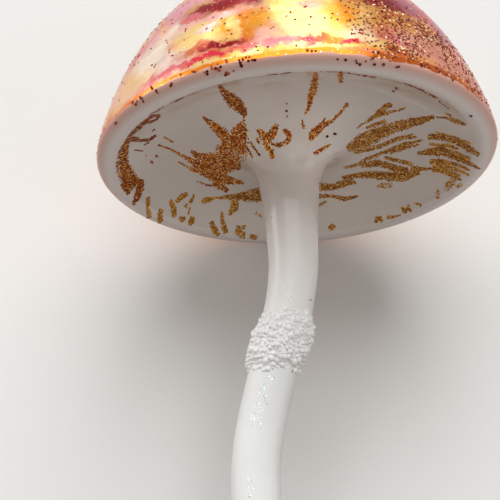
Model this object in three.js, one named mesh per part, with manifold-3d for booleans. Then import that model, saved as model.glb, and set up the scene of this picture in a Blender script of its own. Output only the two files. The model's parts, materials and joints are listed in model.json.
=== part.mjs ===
// Clip-on glass mushroom ornament, upright, in millimetres with +Z up.
// Origin: the middle of the flat seat under the clip's upper jaw, where the twig lies.
// +X points out of the jaws. The stem leaves its ferrule behind the seat and bends over it to the cap.
import * as THREE from 'three';
import { mergeVertices } from 'three/addons/utils/BufferGeometryUtils.js';
import Module from 'manifold-3d';

const wasm = await Module();
wasm.setup();

// Cap: a blown dome whose rim rolls under into a lip
const capRadius = 36;
const capHeight = 34;
const capShoulder = 3.1; // power along the radius, higher is flatter on top
const capFlank = 1.29; // power along the height, higher is steeper at the rim
const capWall = 1;
const lipRoll = 2.4; // from the widest ring in to the lowest ring of the lip
const lipWidth = 4.05; // from the widest ring in to the edge of the dish
const lipDrop = 1.2; // lowest ring of the lip, below the rim plane
const lipEdgeDrop = 0.55; // edge of the lip at the dish, below the rim plane
const lipEdgeSlope = 36; // degrees that the lip climbs at that edge

// Gill dish: the recessed underside, flaring into a throat
const dishWall = 1;
const dishRise = 4.9; // highest ring of the recess, above the rim plane
const dishCrestRadius = 17; // radius of that ring
const throatDrop = 4.5; // end of the throat, below the rim plane
const flarePull = 0.6; // share of the flare's run and climb that its curve keeps straight
const crestPull = 0.45; // share of the bowl's run that stays level past the crest
const rimPull = 0.3; // share of the bowl's run that keeps the lip's slope

// Stem: a glass tube with an S-bend, measured downwards from the rim plane
const stemRadius = 4;
const stemWall = 1;
const stemFlare = 1.45; // extra radius where it meets the throat
const flareFade = 10.5; // length over which most of the flare is gone
const stemLength = 80;
const stemRootOffset = 1.35; // root of the stem, to the left of the cap's axis
const stemSway = 8.05; // how far the S-bend carries the stem further left
const swayStart = 17;
const swayEnd = 57;
const spigotLength = 5; // reduced end that sits in the throat

// Crumb collar round the stem
const collarTop = 28.8;
const collarLength = 10.4;
const collarThickness = 1;
const collarEdge = 0.5; // thickness of its first and last row
const crumbHeight = 0.28;
const crumbsAround = 11;
const crumbRows = 9;

// Ferrule, cement and rivet at the foot of the stem
const ferruleDepth = 9;
const ferruleWall = 0.5;
const ferruleFloor = 0.6;
const ferruleBead = 0.4; // radius of the rolled bead round its mouth
const cementThickness = 0.8;
const cementBed = 1.2; // cement under the end of the stem
const cementPlug = 6; // height of the plug inside the bore
const rivetRadius = 1.2;
const rivetHeadRadius = 2.2;
const rivetHead = 0.8;
const rivetCrown = 1.55; // radius of the flat on its lower head

// Clip: two sheet-steel levers on a pin
const sheet = 0.8;
const clipWidth = 12;
const seatLength = 10; // flat of the upper jaw that the twig lies against
const joggleRun = 1.6; // slope between the seat and the ferrule's platform
const platformRise = 3.2; // underside of the platform above the seat
const platformMargin = 0.3; // platform beyond the ferrule
const tipRun = 2;
const tipDrop = 2; // the upper jaw's tip hooks down this far
const tipGap = 0.4; // between the tips when the clip is shut
const twigHollow = 6.4; // depth of the lower jaw's hollow under the seat
const thumbReach = 20; // thumb ends behind the pivot
const upperThumbTilt = 10;
const lowerThumbTilt = 18;
const thumbCorner = 4;
const jawCorner = 1.5;
const toothCount = 5;
const toothDepth = 0.7;
const earMargin = 1.1; // metal round the pin's hole

// Pivot pin and torsion spring
const pinRadius = 1.5;
const pinHeadRadius = 2.3;
const pinHead = 0.7;
const pinCrown = 1.7; // radius of the flat on its heads
const wire = 0.8;
const coilTurns = 3;
const coilGap = 0.5; // between neighbouring turns
const legReach = 9; // how far along the thumbs the spring's legs push

// Clearances
const seatGap = 0.3; // between pieces that are bonded or seated on each other
const pinClearance = 0.15; // radial, pin in its holes
const runGap = 0.4; // between pieces that turn past each other

// Facets
const roundSides = 40;
const tubeSides = 24;
const smallSides = 20;

// Places that follow from the sizes
const throatRadius = stemRadius + stemFlare;
const cementInner = stemRadius + seatGap;
const cementOuter = cementInner + cementThickness;
const ferruleInner = cementOuter + seatGap;
const ferruleOuter = ferruleInner + ferruleWall;
const platformHalf = ferruleOuter + ferruleBead + platformMargin;
const seatHalf = seatLength / 2;
const ferruleX = -(seatHalf + joggleRun + platformHalf);
const platformTop = platformRise + sheet;
const ferruleBase = platformTop + seatGap;
const ferruleFloorTop = ferruleBase + ferruleFloor;
const cementBase = ferruleFloorTop + seatGap + rivetHead + seatGap;
const stemEnd = cementBase + cementBed + seatGap;
const rimZ = stemEnd + stemLength;
const capX = ferruleX + stemRootOffset + stemSway;
const holeRadius = pinRadius + pinClearance;
const earRadius = holeRadius + earMargin;
const coilRadius = pinRadius + seatGap + wire / 2;
const coilOuter = coilRadius + wire / 2;
const pivotReach = Math.max(coilOuter, earRadius);
const pivotZ = platformRise - seatGap - rivetHead - runGap - pivotReach;
const degrees = Math.PI / 180;
const legRoom = (coilOuter + seatGap) / Math.cos(lowerThumbTilt * degrees);
const thumbDip = earRadius * Math.tan(lowerThumbTilt * degrees);
const baseZ = pivotZ - Math.max(pivotReach + runGap, legRoom + thumbDip);
const upperEarY = clipWidth / 2 - sheet;
const lowerEarY = upperEarY - runGap - sheet;

// Turns any closed triangle geometry into one welded body with its faces out
function weld(source) {
  const bare = source.clone();
  bare.deleteAttribute('normal');
  bare.deleteAttribute('uv');
  const merged = mergeVertices(bare, 1e-4);
  const old = merged.index.array;
  const kept = [];
  for (let i = 0; i < old.length; i += 3) {
    const [a, b, c] = [old[i], old[i + 1], old[i + 2]];
    if (a !== b && b !== c && c !== a) {
      kept.push(a, b, c);
    }
  }
  merged.setIndex(kept);
  if (signedVolume(merged) < 0) {
    for (let i = 0; i < kept.length; i += 3) {
      [kept[i], kept[i + 1]] = [kept[i + 1], kept[i]];
    }
    merged.setIndex(kept);
  }
  merged.computeVertexNormals();
  return merged;
}

function signedVolume(geometry) {
  const place = geometry.attributes.position;
  const index = geometry.index.array;
  const corner = [new THREE.Vector3(), new THREE.Vector3(), new THREE.Vector3()];
  let sum = 0;
  for (let i = 0; i < index.length; i += 3) {
    corner.forEach((point, k) => point.fromBufferAttribute(place, index[i + k]));
    sum += corner[0].dot(corner[1].clone().cross(corner[2])) / 6;
  }
  return sum;
}

// Joins and cuts
function toSolid(geometry) {
  const body = weld(geometry);
  return new wasm.Manifold(new wasm.Mesh({
    numProp: 3,
    vertProperties: new Float32Array(body.attributes.position.array),
    triVerts: new Uint32Array(body.index.array),
  }));
}

function fromSolid(solid) {
  const mesh = solid.getMesh();
  const geometry = new THREE.BufferGeometry();
  geometry.setAttribute('position', new THREE.BufferAttribute(new Float32Array(mesh.vertProperties), 3));
  geometry.setIndex(new THREE.BufferAttribute(new Uint32Array(mesh.triVerts), 1));
  return weld(geometry);
}

// A body turned about the upright line through (x, 0), from [radius, height] pairs
function turned(profile, x, sides) {
  const points = profile.map(([radius, height]) => new THREE.Vector2(radius, height));
  const geometry = new THREE.LatheGeometry(points, sides);
  geometry.rotateX(Math.PI / 2);
  geometry.translate(x, 0, 0);
  return weld(geometry);
}

// A flat outline in X and Z, extruded across the clip between two places on Y
function acrossClip(shape, fromY, toY, curveSegments = 10) {
  const across = { depth: toY - fromY, bevelEnabled: false, curveSegments };
  const geometry = new THREE.ExtrudeGeometry(shape, across);
  geometry.rotateX(Math.PI / 2);
  geometry.translate(0, toY, 0);
  return geometry;
}

function sampled(curve, steps) {
  return curve.getPoints(steps).map((point) => [point.x, point.y]);
}

// Left-hand side of a run of points, at a distance
function offsetRun(points, distance) {
  return points.map(([x, z], i) => {
    const before = points[Math.max(i - 1, 0)];
    const after = points[Math.min(i + 1, points.length - 1)];
    const incoming = Math.atan2(z - before[1], x - before[0]);
    const outgoing = Math.atan2(after[1] - z, after[0] - x);
    const first = i === 0 ? outgoing : incoming;
    const last = i === points.length - 1 ? incoming : outgoing;
    const half = (last - first) / 2;
    const heading = first + half;
    const reach = distance / Math.cos(half);
    return [x - reach * Math.sin(heading), z + reach * Math.cos(heading)];
  });
}

function smooth(value, from, to) {
  const t = Math.min(Math.max((value - from) / (to - from), 0), 1);
  return t * t * (3 - 2 * t);
}

// Cap shell, in heights above the rim plane
function domePoint(turn, radius, height) {
  return [radius * Math.sin(turn) ** (2 / capShoulder), height * Math.cos(turn) ** (2 / capFlank)];
}

const lipSlope = lipEdgeSlope * degrees;
const lipEdge = [capRadius - lipWidth, -lipEdgeDrop];
const lipPull = (lipWidth - lipRoll) / 3;

function capShell() {
  const domeSteps = 16;
  const lipSteps = 5;
  const profile = [];
  for (let i = 0; i < domeSteps; i += 1) {
    profile.push(domePoint((i / domeSteps) * Math.PI / 2, capRadius, capHeight));
  }
  for (let i = 0; i < lipSteps; i += 1) {
    const turn = (i / lipSteps) * Math.PI / 2;
    profile.push([capRadius - lipRoll + lipRoll * Math.cos(turn), -lipDrop * Math.sin(turn)]);
  }
  const inward = new THREE.CubicBezierCurve(
    new THREE.Vector2(capRadius - lipRoll, -lipDrop),
    new THREE.Vector2(capRadius - lipRoll - lipPull, -lipDrop),
    new THREE.Vector2(lipEdge[0] + lipPull * Math.cos(lipSlope), lipEdge[1] - lipPull * Math.sin(lipSlope)),
    new THREE.Vector2(...lipEdge),
  );
  profile.push(...sampled(inward, lipSteps));
  profile.push([lipEdge[0] + capWall * Math.sin(lipSlope), lipEdge[1] + capWall * Math.cos(lipSlope)]);
  profile.push([capRadius - lipRoll, capWall - lipDrop]);
  for (let i = domeSteps - 1; i >= 0; i -= 1) {
    profile.push(domePoint((i / domeSteps) * Math.PI / 2, capRadius - capWall, capHeight - capWall));
  }
  return turned(profile.map(([radius, height]) => [radius, rimZ + height]), capX, roundSides);
}

// Gill dish: its lower face runs from the throat's end over the crest of the recess to the lip
function gillDish() {
  const steps = 11;
  const rim = [
    lipEdge[0] - seatGap * Math.cos(lipSlope),
    lipEdge[1] + seatGap * Math.sin(lipSlope),
  ];
  const flareClimb = flarePull * (dishRise + throatDrop);
  const flareRun = dishCrestRadius - throatRadius;
  const bowlRun = rim[0] - dishCrestRadius;
  const rimReach = bowlRun * rimPull;
  const trumpet = new THREE.CubicBezierCurve(
    new THREE.Vector2(throatRadius, -throatDrop),
    new THREE.Vector2(throatRadius + flareClimb * (stemFlare / flareFade), flareClimb - throatDrop),
    new THREE.Vector2(dishCrestRadius - flareRun * flarePull, dishRise),
    new THREE.Vector2(dishCrestRadius, dishRise),
  );
  const bowl = new THREE.CubicBezierCurve(
    new THREE.Vector2(dishCrestRadius, dishRise),
    new THREE.Vector2(dishCrestRadius + bowlRun * crestPull, dishRise),
    new THREE.Vector2(rim[0] - rimReach * Math.cos(lipSlope), rim[1] + rimReach * Math.sin(lipSlope)),
    new THREE.Vector2(...rim),
  );
  const lower = [...sampled(trumpet, steps), ...sampled(bowl, steps).slice(1)];
  const upper = offsetRun(lower, dishWall).reverse();
  const profile = [...lower, ...upper, lower[0]];
  const dish = turned(profile.map(([radius, height]) => [radius, rimZ + height]), 0, roundSides);
  const place = dish.attributes.position;
  for (let i = 0; i < place.count; i += 1) {
    const radius = Math.hypot(place.getX(i), place.getY(i));
    const lean = stemRootOffset * (1 - smooth(radius, throatRadius, dishCrestRadius));
    place.setX(i, capX + place.getX(i) - lean);
  }
  dish.computeVertexNormals();
  return dish;
}

// The stem's centre line lies in the X-Z plane; s runs down from the rim plane
function stemX(s) {
  return capX - stemRootOffset - stemSway * smooth(s, swayStart, swayEnd);
}

function stemOuter(s) {
  return stemRadius + stemFlare * Math.exp(-Math.max(s - throatDrop, 0) / flareFade);
}

function stemLean(s) {
  const step = 0.01;
  return Math.atan2(stemX(s + step) - stemX(s - step), 2 * step);
}

// A point of the ring that lies square to the stem
function squarePoint(s, radius, angle) {
  const lean = stemLean(s);
  const side = radius * Math.cos(angle);
  return [stemX(s) + side * Math.cos(lean), radius * Math.sin(angle), rimZ - s + side * Math.sin(lean)];
}

// A point of the level ring round the leaning stem
function levelPoint(s, radius, angle) {
  const side = radius * Math.cos(angle) / Math.cos(stemLean(s));
  return [stemX(s) + side, radius * Math.sin(angle), rimZ - s];
}

// A hollow body along the stem. Stations are [s, radius] pairs; bump adds to the outer radius
function alongStem(outer, inner, ringPoint, bump = () => 0) {
  const outside = outer.map((at) => [...at, bump]);
  const inside = inner.map((at) => [...at, () => 0]).reverse();
  const rings = [...outside, ...inside];
  const points = [];
  const index = [];
  rings.forEach(([s, radius, swell], row) => {
    for (let k = 0; k < tubeSides; k += 1) {
      const angle = (k / tubeSides) * 2 * Math.PI;
      points.push(...ringPoint(s, radius + swell(row, angle), angle));
    }
    const next = ((row + 1) % rings.length) * tubeSides;
    for (let k = 0; k < tubeSides; k += 1) {
      const here = row * tubeSides + k;
      const beside = row * tubeSides + ((k + 1) % tubeSides);
      const below = next + k;
      const across = next + ((k + 1) % tubeSides);
      index.push(here, below, beside, beside, below, across);
    }
  });
  const geometry = new THREE.BufferGeometry();
  geometry.setAttribute('position', new THREE.Float32BufferAttribute(points, 3));
  geometry.setIndex(index);
  return weld(geometry);
}

function stemTube() {
  const shoulder = throatDrop + seatGap;
  const spigotRadius = throatRadius - dishWall - seatGap;
  const outerSteps = 24;
  const innerSteps = 14;
  const outer = [[shoulder - spigotLength, spigotRadius], [shoulder, spigotRadius]];
  for (let i = 0; i <= outerSteps; i += 1) {
    const s = shoulder + (i / outerSteps) * (stemLength - shoulder);
    outer.push([s, stemOuter(s)]);
  }
  const inner = [[shoulder - spigotLength, spigotRadius - stemWall]];
  for (let i = 0; i <= innerSteps; i += 1) {
    const s = shoulder + (i / innerSteps) * (stemLength - shoulder);
    inner.push([s, Math.min(stemOuter(s), spigotRadius) - stemWall]);
  }
  return alongStem(outer, inner, squarePoint);
}

function crumbCollar() {
  const outer = [];
  const inner = [];
  for (let i = 0; i <= crumbRows; i += 1) {
    const s = collarTop + (i / crumbRows) * collarLength;
    const atEnd = i === 0 || i === crumbRows;
    outer.push([s, stemOuter(s) + seatGap + (atEnd ? collarEdge : collarThickness)]);
    inner.push([s, stemOuter(s) + seatGap]);
  }
  const crumbs = (row, angle) => crumbHeight * Math.cos(crumbsAround * angle + (row % 2) * Math.PI);
  return alongStem(outer, inner, levelPoint, crumbs);
}

// Foot of the stem
function neckCement() {
  const plugRadius = Math.min(stemRadius, throatRadius - dishWall - seatGap) - stemWall - seatGap;
  const mouth = ferruleBase + ferruleDepth;
  return turned([
    [0, cementBase],
    [cementOuter, cementBase],
    [cementOuter, mouth],
    [cementInner, mouth + cementThickness],
    [cementInner, stemEnd - seatGap],
    [plugRadius, stemEnd - seatGap],
    [plugRadius, stemEnd + cementPlug],
    [0, stemEnd + cementPlug],
  ], ferruleX, tubeSides);
}

function ferrule() {
  const mouth = ferruleBase + ferruleDepth;
  const holeEdge = rivetRadius + seatGap;
  const profile = [
    [holeEdge, ferruleBase],
    [ferruleOuter - ferruleWall, ferruleBase],
    [ferruleOuter, ferruleBase + ferruleWall],
  ];
  const beadSteps = 6;
  for (let i = 0; i <= beadSteps; i += 1) {
    const turn = -Math.PI / 2 + (i / beadSteps) * Math.PI;
    const beadZ = mouth - ferruleBead;
    profile.push([ferruleOuter + ferruleBead * Math.cos(turn), beadZ + ferruleBead * Math.sin(turn)]);
  }
  profile.push([ferruleInner, mouth]);
  profile.push([ferruleInner, ferruleFloorTop]);
  profile.push([holeEdge, ferruleFloorTop]);
  profile.push(profile[0]);
  return turned(profile, ferruleX, tubeSides);
}

function ferruleRivet() {
  const lowerFace = platformRise - seatGap;
  const upperFace = ferruleFloorTop + seatGap;
  return turned([
    [0, lowerFace - rivetHead],
    [rivetCrown, lowerFace - rivetHead],
    [rivetHeadRadius, lowerFace - rivetHead / 2],
    [rivetHeadRadius, lowerFace],
    [rivetRadius, lowerFace],
    [rivetRadius, upperFace],
    [rivetHeadRadius, upperFace],
    [rivetHeadRadius, upperFace + rivetHead],
    [0, upperFace + rivetHead],
  ], ferruleX, smallSides);
}

// Levers: a bent strip, trimmed to its outline seen from above, with ears and holes
function stripBody(edge, thickness) {
  const closed = [...edge, ...offsetRun(edge, thickness).reverse()];
  const shape = new THREE.Shape(closed.map(([x, z]) => new THREE.Vector2(x, z)));
  return toSolid(acrossClip(shape, -clipWidth / 2, clipWidth / 2));
}

function leverOutline(rearX, frontX) {
  const half = clipWidth / 2;
  const tall = 4 * thumbReach;
  const shape = new THREE.Shape();
  shape.moveTo(rearX + thumbCorner, -half);
  shape.lineTo(frontX - jawCorner, -half);
  shape.absarc(frontX - jawCorner, -half + jawCorner, jawCorner, -Math.PI / 2, 0, false);
  shape.lineTo(frontX, half - jawCorner);
  shape.absarc(frontX - jawCorner, half - jawCorner, jawCorner, 0, Math.PI / 2, false);
  shape.lineTo(rearX + thumbCorner, half);
  shape.absarc(rearX + thumbCorner, half - thumbCorner, thumbCorner, Math.PI / 2, Math.PI, false);
  shape.lineTo(rearX, -half + thumbCorner);
  shape.absarc(rearX + thumbCorner, -half + thumbCorner, thumbCorner, Math.PI, 1.5 * Math.PI, false);
  const geometry = new THREE.ExtrudeGeometry(shape, { depth: tall, bevelEnabled: false, curveSegments: 5 });
  geometry.translate(0, 0, -tall / 2);
  return toSolid(geometry);
}

// An ear from a level edge to a round end about the pivot, with the pin's hole; up is 1 or -1
function earSolid(edgeZ, up, innerY) {
  const shape = new THREE.Shape();
  shape.moveTo(ferruleX - earRadius, edgeZ);
  shape.lineTo(ferruleX - earRadius, pivotZ);
  shape.absarc(ferruleX, pivotZ, earRadius, Math.PI, up > 0 ? 0 : 2 * Math.PI, up > 0);
  shape.lineTo(ferruleX + earRadius, edgeZ);
  const right = toSolid(acrossClip(shape, innerY, innerY + sheet));
  const left = toSolid(acrossClip(shape, -innerY - sheet, -innerY));
  return right.add(left);
}

function pinHole() {
  const geometry = new THREE.CylinderGeometry(holeRadius, holeRadius, 2 * clipWidth, smallSides);
  geometry.translate(ferruleX, 0, pivotZ);
  return toSolid(geometry);
}

// A row of notches across a jaw's tip, open upwards or downwards
function toothNotches(edgeZ, up) {
  const pitch = (clipWidth - 2 * jawCorner) / toothCount;
  let all = null;
  for (let i = 0; i < toothCount; i += 1) {
    const y = (i - (toothCount - 1) / 2) * pitch;
    const shape = new THREE.Shape([
      new THREE.Vector2(y - pitch / 2, edgeZ + up * toothDepth),
      new THREE.Vector2(y + pitch / 2, edgeZ + up * toothDepth),
      new THREE.Vector2(y, edgeZ - up * toothDepth),
    ]);
    const geometry = new THREE.ExtrudeGeometry(shape, { depth: 2 * tipRun, bevelEnabled: false });
    geometry.rotateX(Math.PI / 2);
    geometry.rotateZ(Math.PI / 2);
    geometry.translate(seatHalf + tipRun / 2, 0, 0);
    const notch = toSolid(geometry);
    all = all ? all.add(notch) : notch;
  }
  return all;
}

const tipX = seatHalf + tipRun;
const upperThumbBend = ferruleX - platformHalf;
const lowerThumbBend = ferruleX - earRadius;
const thumbEnd = ferruleX - thumbReach;
const upperThumbRise = (upperThumbBend - thumbEnd) * Math.tan(upperThumbTilt * degrees);
const lowerThumbFall = (lowerThumbBend - thumbEnd) * Math.tan(lowerThumbTilt * degrees);

function clipUpperLever() {
  const underside = [
    [thumbEnd, platformRise + upperThumbRise],
    [upperThumbBend, platformRise],
    [-seatHalf - joggleRun, platformRise],
    [-seatHalf, 0],
    [seatHalf, 0],
    [tipX, -tipDrop],
  ];
  const strip = stripBody(underside, sheet).intersect(leverOutline(thumbEnd, tipX + sheet));
  const holeEdge = rivetRadius + seatGap;
  const rivetHole = new THREE.CylinderGeometry(holeEdge, holeEdge, 4 * sheet, smallSides);
  rivetHole.rotateX(Math.PI / 2);
  rivetHole.translate(ferruleX, 0, platformRise);
  return fromSolid(strip
    .add(earSolid(platformRise + sheet / 2, -1, upperEarY))
    .subtract(pinHole())
    .subtract(toSolid(rivetHole))
    .subtract(toothNotches(-tipDrop, -1)));
}

function clipLowerLever() {
  const jawStart = [-seatHalf - joggleRun, baseZ];
  const jawTip = [tipX, -tipDrop - tipGap];
  const hollow = new THREE.QuadraticBezierCurve(
    new THREE.Vector2(...jawStart),
    new THREE.Vector2(-(jawStart[0] + jawTip[0]) / 2, -2 * twigHollow - (jawStart[1] + jawTip[1]) / 2),
    new THREE.Vector2(...jawTip),
  );
  const hollowSteps = 10;
  const topside = [
    [thumbEnd, baseZ - lowerThumbFall],
    [lowerThumbBend, baseZ],
    ...sampled(hollow, hollowSteps),
  ];
  const strip = stripBody(topside, -sheet).intersect(leverOutline(thumbEnd, tipX + sheet));
  return fromSolid(strip
    .add(earSolid(baseZ - sheet / 2, 1, lowerEarY))
    .subtract(pinHole())
    .subtract(toothNotches(-tipDrop - tipGap, 1)));
}

function pivotPin() {
  const shankEnd = clipWidth / 2 + pinClearance;
  const profile = [
    [0, -shankEnd - pinHead],
    [pinCrown, -shankEnd - pinHead],
    [pinHeadRadius, -shankEnd - pinHead / 2],
    [pinHeadRadius, -shankEnd],
    [pinRadius, -shankEnd],
    [pinRadius, shankEnd],
    [pinHeadRadius, shankEnd],
    [pinHeadRadius, shankEnd + pinHead / 2],
    [pinCrown, shankEnd + pinHead],
    [0, shankEnd + pinHead],
  ];
  const points = profile.map(([radius, along]) => new THREE.Vector2(radius, along));
  const geometry = new THREE.LatheGeometry(points, smallSides);
  geometry.translate(ferruleX, 0, pivotZ);
  return weld(geometry);
}

// Torsion spring: lower leg, turns about the pin, upper leg, as one unbroken wire
function springPath() {
  const reach = wire / 2 + seatGap;
  const upperTilt = upperThumbTilt * degrees;
  const lowerTilt = lowerThumbTilt * degrees;
  const upperEnd = [
    upperThumbBend - legReach * Math.cos(upperTilt) - ferruleX - reach * Math.sin(upperTilt),
    platformRise + legReach * Math.sin(upperTilt) - pivotZ - reach * Math.cos(upperTilt),
  ];
  const lowerEnd = [
    lowerThumbBend - legReach * Math.cos(lowerTilt) - ferruleX - reach * Math.sin(lowerTilt),
    baseZ - legReach * Math.sin(lowerTilt) - pivotZ + reach * Math.cos(lowerTilt),
  ];
  const tangent = ([x, z], sense) => Math.atan2(z, x) + sense * Math.acos(coilRadius / Math.hypot(x, z));
  const startTurn = tangent(lowerEnd, 1);
  let endTurn = tangent(upperEnd, -1);
  while (endTurn < startTurn) {
    endTurn += 2 * Math.PI;
  }
  endTurn += coilTurns * 2 * Math.PI;
  const pitch = wire + coilGap;
  const coilLength = pitch * (endTurn - startTurn) / (2 * Math.PI);
  const steps = Math.round((endTurn - startTurn) / (Math.PI / 4));
  const path = [new THREE.Vector3(ferruleX + lowerEnd[0], -coilLength / 2, pivotZ + lowerEnd[1])];
  for (let i = 0; i <= steps; i += 1) {
    const turn = startTurn + (i / steps) * (endTurn - startTurn);
    path.push(new THREE.Vector3(
      ferruleX + coilRadius * Math.cos(turn),
      coilLength * (i / steps - 0.5),
      pivotZ + coilRadius * Math.sin(turn),
    ));
  }
  path.push(new THREE.Vector3(ferruleX + upperEnd[0], coilLength / 2, pivotZ + upperEnd[1]));
  return path;
}

// A wire along points, with its section carried from point to point without twist
function wireTube(path, radius, sides) {
  const points = [];
  const index = [];
  const aside = new THREE.Vector3(0, 1, 0);
  path.forEach((point, i) => {
    const ahead = path[Math.min(i + 1, path.length - 1)].clone().sub(path[Math.max(i - 1, 0)]).normalize();
    aside.addScaledVector(ahead, -aside.dot(ahead)).normalize();
    const third = ahead.clone().cross(aside);
    for (let k = 0; k < sides; k += 1) {
      const angle = (k / sides) * 2 * Math.PI;
      const corner = point.clone()
        .addScaledVector(aside, radius * Math.cos(angle))
        .addScaledVector(third, radius * Math.sin(angle));
      points.push(...corner.toArray());
    }
    if (i === 0) {
      return;
    }
    for (let k = 0; k < sides; k += 1) {
      const here = (i - 1) * sides + k;
      const beside = (i - 1) * sides + ((k + 1) % sides);
      index.push(here, here + sides, beside, beside, here + sides, beside + sides);
    }
  });
  const last = (path.length - 1) * sides;
  for (let k = 1; k < sides - 1; k += 1) {
    index.push(0, k, k + 1, last, last + k + 1, last + k);
  }
  const geometry = new THREE.BufferGeometry();
  geometry.setAttribute('position', new THREE.Float32BufferAttribute(points, 3));
  geometry.setIndex(index);
  return weld(geometry);
}

// Least gap of the wire to itself, between stretches at least half a turn apart
function leastGap(path) {
  const fine = [];
  const finer = 4;
  for (let i = 1; i < path.length; i += 1) {
    for (let k = 0; k < finer; k += 1) {
      fine.push(path[i - 1].clone().lerp(path[i], k / finer));
    }
  }
  const halfTurn = Math.PI * coilRadius;
  let least = Infinity;
  fine.forEach((point, i) => {
    let run = 0;
    for (let j = i + 1; j < fine.length; j += 1) {
      run += fine[j].distanceTo(fine[j - 1]);
      if (run > halfTurn) {
        least = Math.min(least, point.distanceTo(fine[j]) - wire);
      }
    }
  });
  return least;
}

const spring = springPath();
console.log(`torsion spring: least gap to itself ${leastGap(spring).toFixed(2)} mm`);

// Finishes
const lustre = new THREE.MeshStandardMaterial({ color: 0xe0703a, roughness: 0.15, metalness: 0.5 });
const whiteGlass = new THREE.MeshStandardMaterial({ color: 0xe6e2de, roughness: 0.15, metalness: 0 });
const crumbs = new THREE.MeshStandardMaterial({ color: 0xf0eeec, roughness: 0.6, metalness: 0 });
const plaster = new THREE.MeshStandardMaterial({ color: 0xd8d2c6, roughness: 0.9, metalness: 0 });
const brightSteel = new THREE.MeshStandardMaterial({ color: 0xb9bcc0, roughness: 0.3, metalness: 1 });
const springSteel = new THREE.MeshStandardMaterial({ color: 0x8f9296, roughness: 0.35, metalness: 1 });

function piece(name, geometry, material) {
  const mesh = new THREE.Mesh(geometry, material);
  mesh.name = name;
  return mesh;
}

const glass = new THREE.Group();
glass.add(
  piece('cap_shell', capShell(), lustre),
  piece('gill_dish', gillDish(), whiteGlass),
  piece('stem_tube', stemTube(), whiteGlass),
  piece('crumb_collar', crumbCollar(), crumbs),
);

const foot = new THREE.Group();
foot.add(
  piece('neck_cement', neckCement(), plaster),
  piece('ferrule', ferrule(), brightSteel),
  piece('ferrule_rivet', ferruleRivet(), brightSteel),
);

const clip = new THREE.Group();
clip.add(
  piece('clip_upper_lever', clipUpperLever(), brightSteel),
  piece('clip_lower_lever', clipLowerLever(), brightSteel),
  piece('pivot_pin', pivotPin(), brightSteel),
  piece('torsion_spring', wireTube(spring, wire / 2, 5), springSteel),
);

const ornament = new THREE.Group();
ornament.add(glass, foot, clip);
export default ornament;
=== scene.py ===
import json
import math

import bmesh
import bpy
from mathutils import Matrix, Vector, noise
from mathutils.bvhtree import BVHTree


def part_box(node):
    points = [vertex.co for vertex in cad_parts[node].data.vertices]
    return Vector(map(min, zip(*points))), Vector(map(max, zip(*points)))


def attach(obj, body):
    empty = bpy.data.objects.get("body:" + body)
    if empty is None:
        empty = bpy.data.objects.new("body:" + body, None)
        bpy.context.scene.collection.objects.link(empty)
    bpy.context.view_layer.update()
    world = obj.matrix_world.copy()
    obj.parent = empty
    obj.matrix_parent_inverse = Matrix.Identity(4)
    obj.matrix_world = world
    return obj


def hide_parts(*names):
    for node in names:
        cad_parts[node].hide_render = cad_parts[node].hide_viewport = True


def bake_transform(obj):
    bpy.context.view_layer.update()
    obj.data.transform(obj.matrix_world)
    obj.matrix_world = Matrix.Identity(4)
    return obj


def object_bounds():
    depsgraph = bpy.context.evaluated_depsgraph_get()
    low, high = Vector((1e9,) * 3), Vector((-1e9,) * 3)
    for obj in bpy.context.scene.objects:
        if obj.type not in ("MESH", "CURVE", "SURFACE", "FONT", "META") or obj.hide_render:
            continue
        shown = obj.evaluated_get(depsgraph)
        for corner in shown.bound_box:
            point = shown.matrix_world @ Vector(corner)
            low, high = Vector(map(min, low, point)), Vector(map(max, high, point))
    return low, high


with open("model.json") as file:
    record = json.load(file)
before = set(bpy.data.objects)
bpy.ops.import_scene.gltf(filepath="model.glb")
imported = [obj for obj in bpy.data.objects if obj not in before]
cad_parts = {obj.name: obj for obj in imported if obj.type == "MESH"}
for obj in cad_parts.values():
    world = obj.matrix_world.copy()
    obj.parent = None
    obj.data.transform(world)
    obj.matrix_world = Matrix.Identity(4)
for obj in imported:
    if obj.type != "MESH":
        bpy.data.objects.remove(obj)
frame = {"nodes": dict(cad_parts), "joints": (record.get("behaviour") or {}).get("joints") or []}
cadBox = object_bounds()
mm = 0.001
glassBody = "ornament"
jawBody = "lower_jaw"
print("frame loaded")

# Main places, read from the frame
capLow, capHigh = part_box("cap_shell")
cap = {
    "radius": (capHigh.x - capLow.x) / 2,
    "shoulder": 3.1,        # power along the radius
    "flank": 1.29,          # power along the height
    "wall": 1.0 * mm,
    "lipRoll": 2.4 * mm,    # from the widest ring in to the lowest ring of the lip
    "lipWidth": 4.05 * mm,  # from the widest ring in to the edge of the bowl
    "lipDrop": 1.2 * mm,
    "lipEdgeDrop": 0.55 * mm,
    "lipSlope": math.radians(36),
    "sides": 192,
}
capX = (capLow.x + capHigh.x) / 2
rimZ = capLow.z + cap["lipDrop"]
capHeight = capHigh.z - rimZ
rimCentre = Vector((capX, 0, rimZ))

ferruleLow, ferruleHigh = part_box("ferrule")
footX = (ferruleLow.x + ferruleHigh.x) / 2
stem = {
    "radius": 4.0 * mm,
    "wall": 1.0 * mm,
    "flare": 1.45 * mm,       # extra radius where it meets the throat
    "flareFade": 10.5 * mm,
    "rootOffset": 1.35 * mm,  # root of the stem, to the left of the cap's axis
    "swayStart": 17 * mm,
    "swayEnd": 57 * mm,
    "throatDrop": 4.5 * mm,   # where the bowl's throat ends, below the rim
    "sides": 96,
}
stemSway = capX - stem["rootOffset"] - footX
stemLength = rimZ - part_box("stem_tube")[0].z


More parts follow.
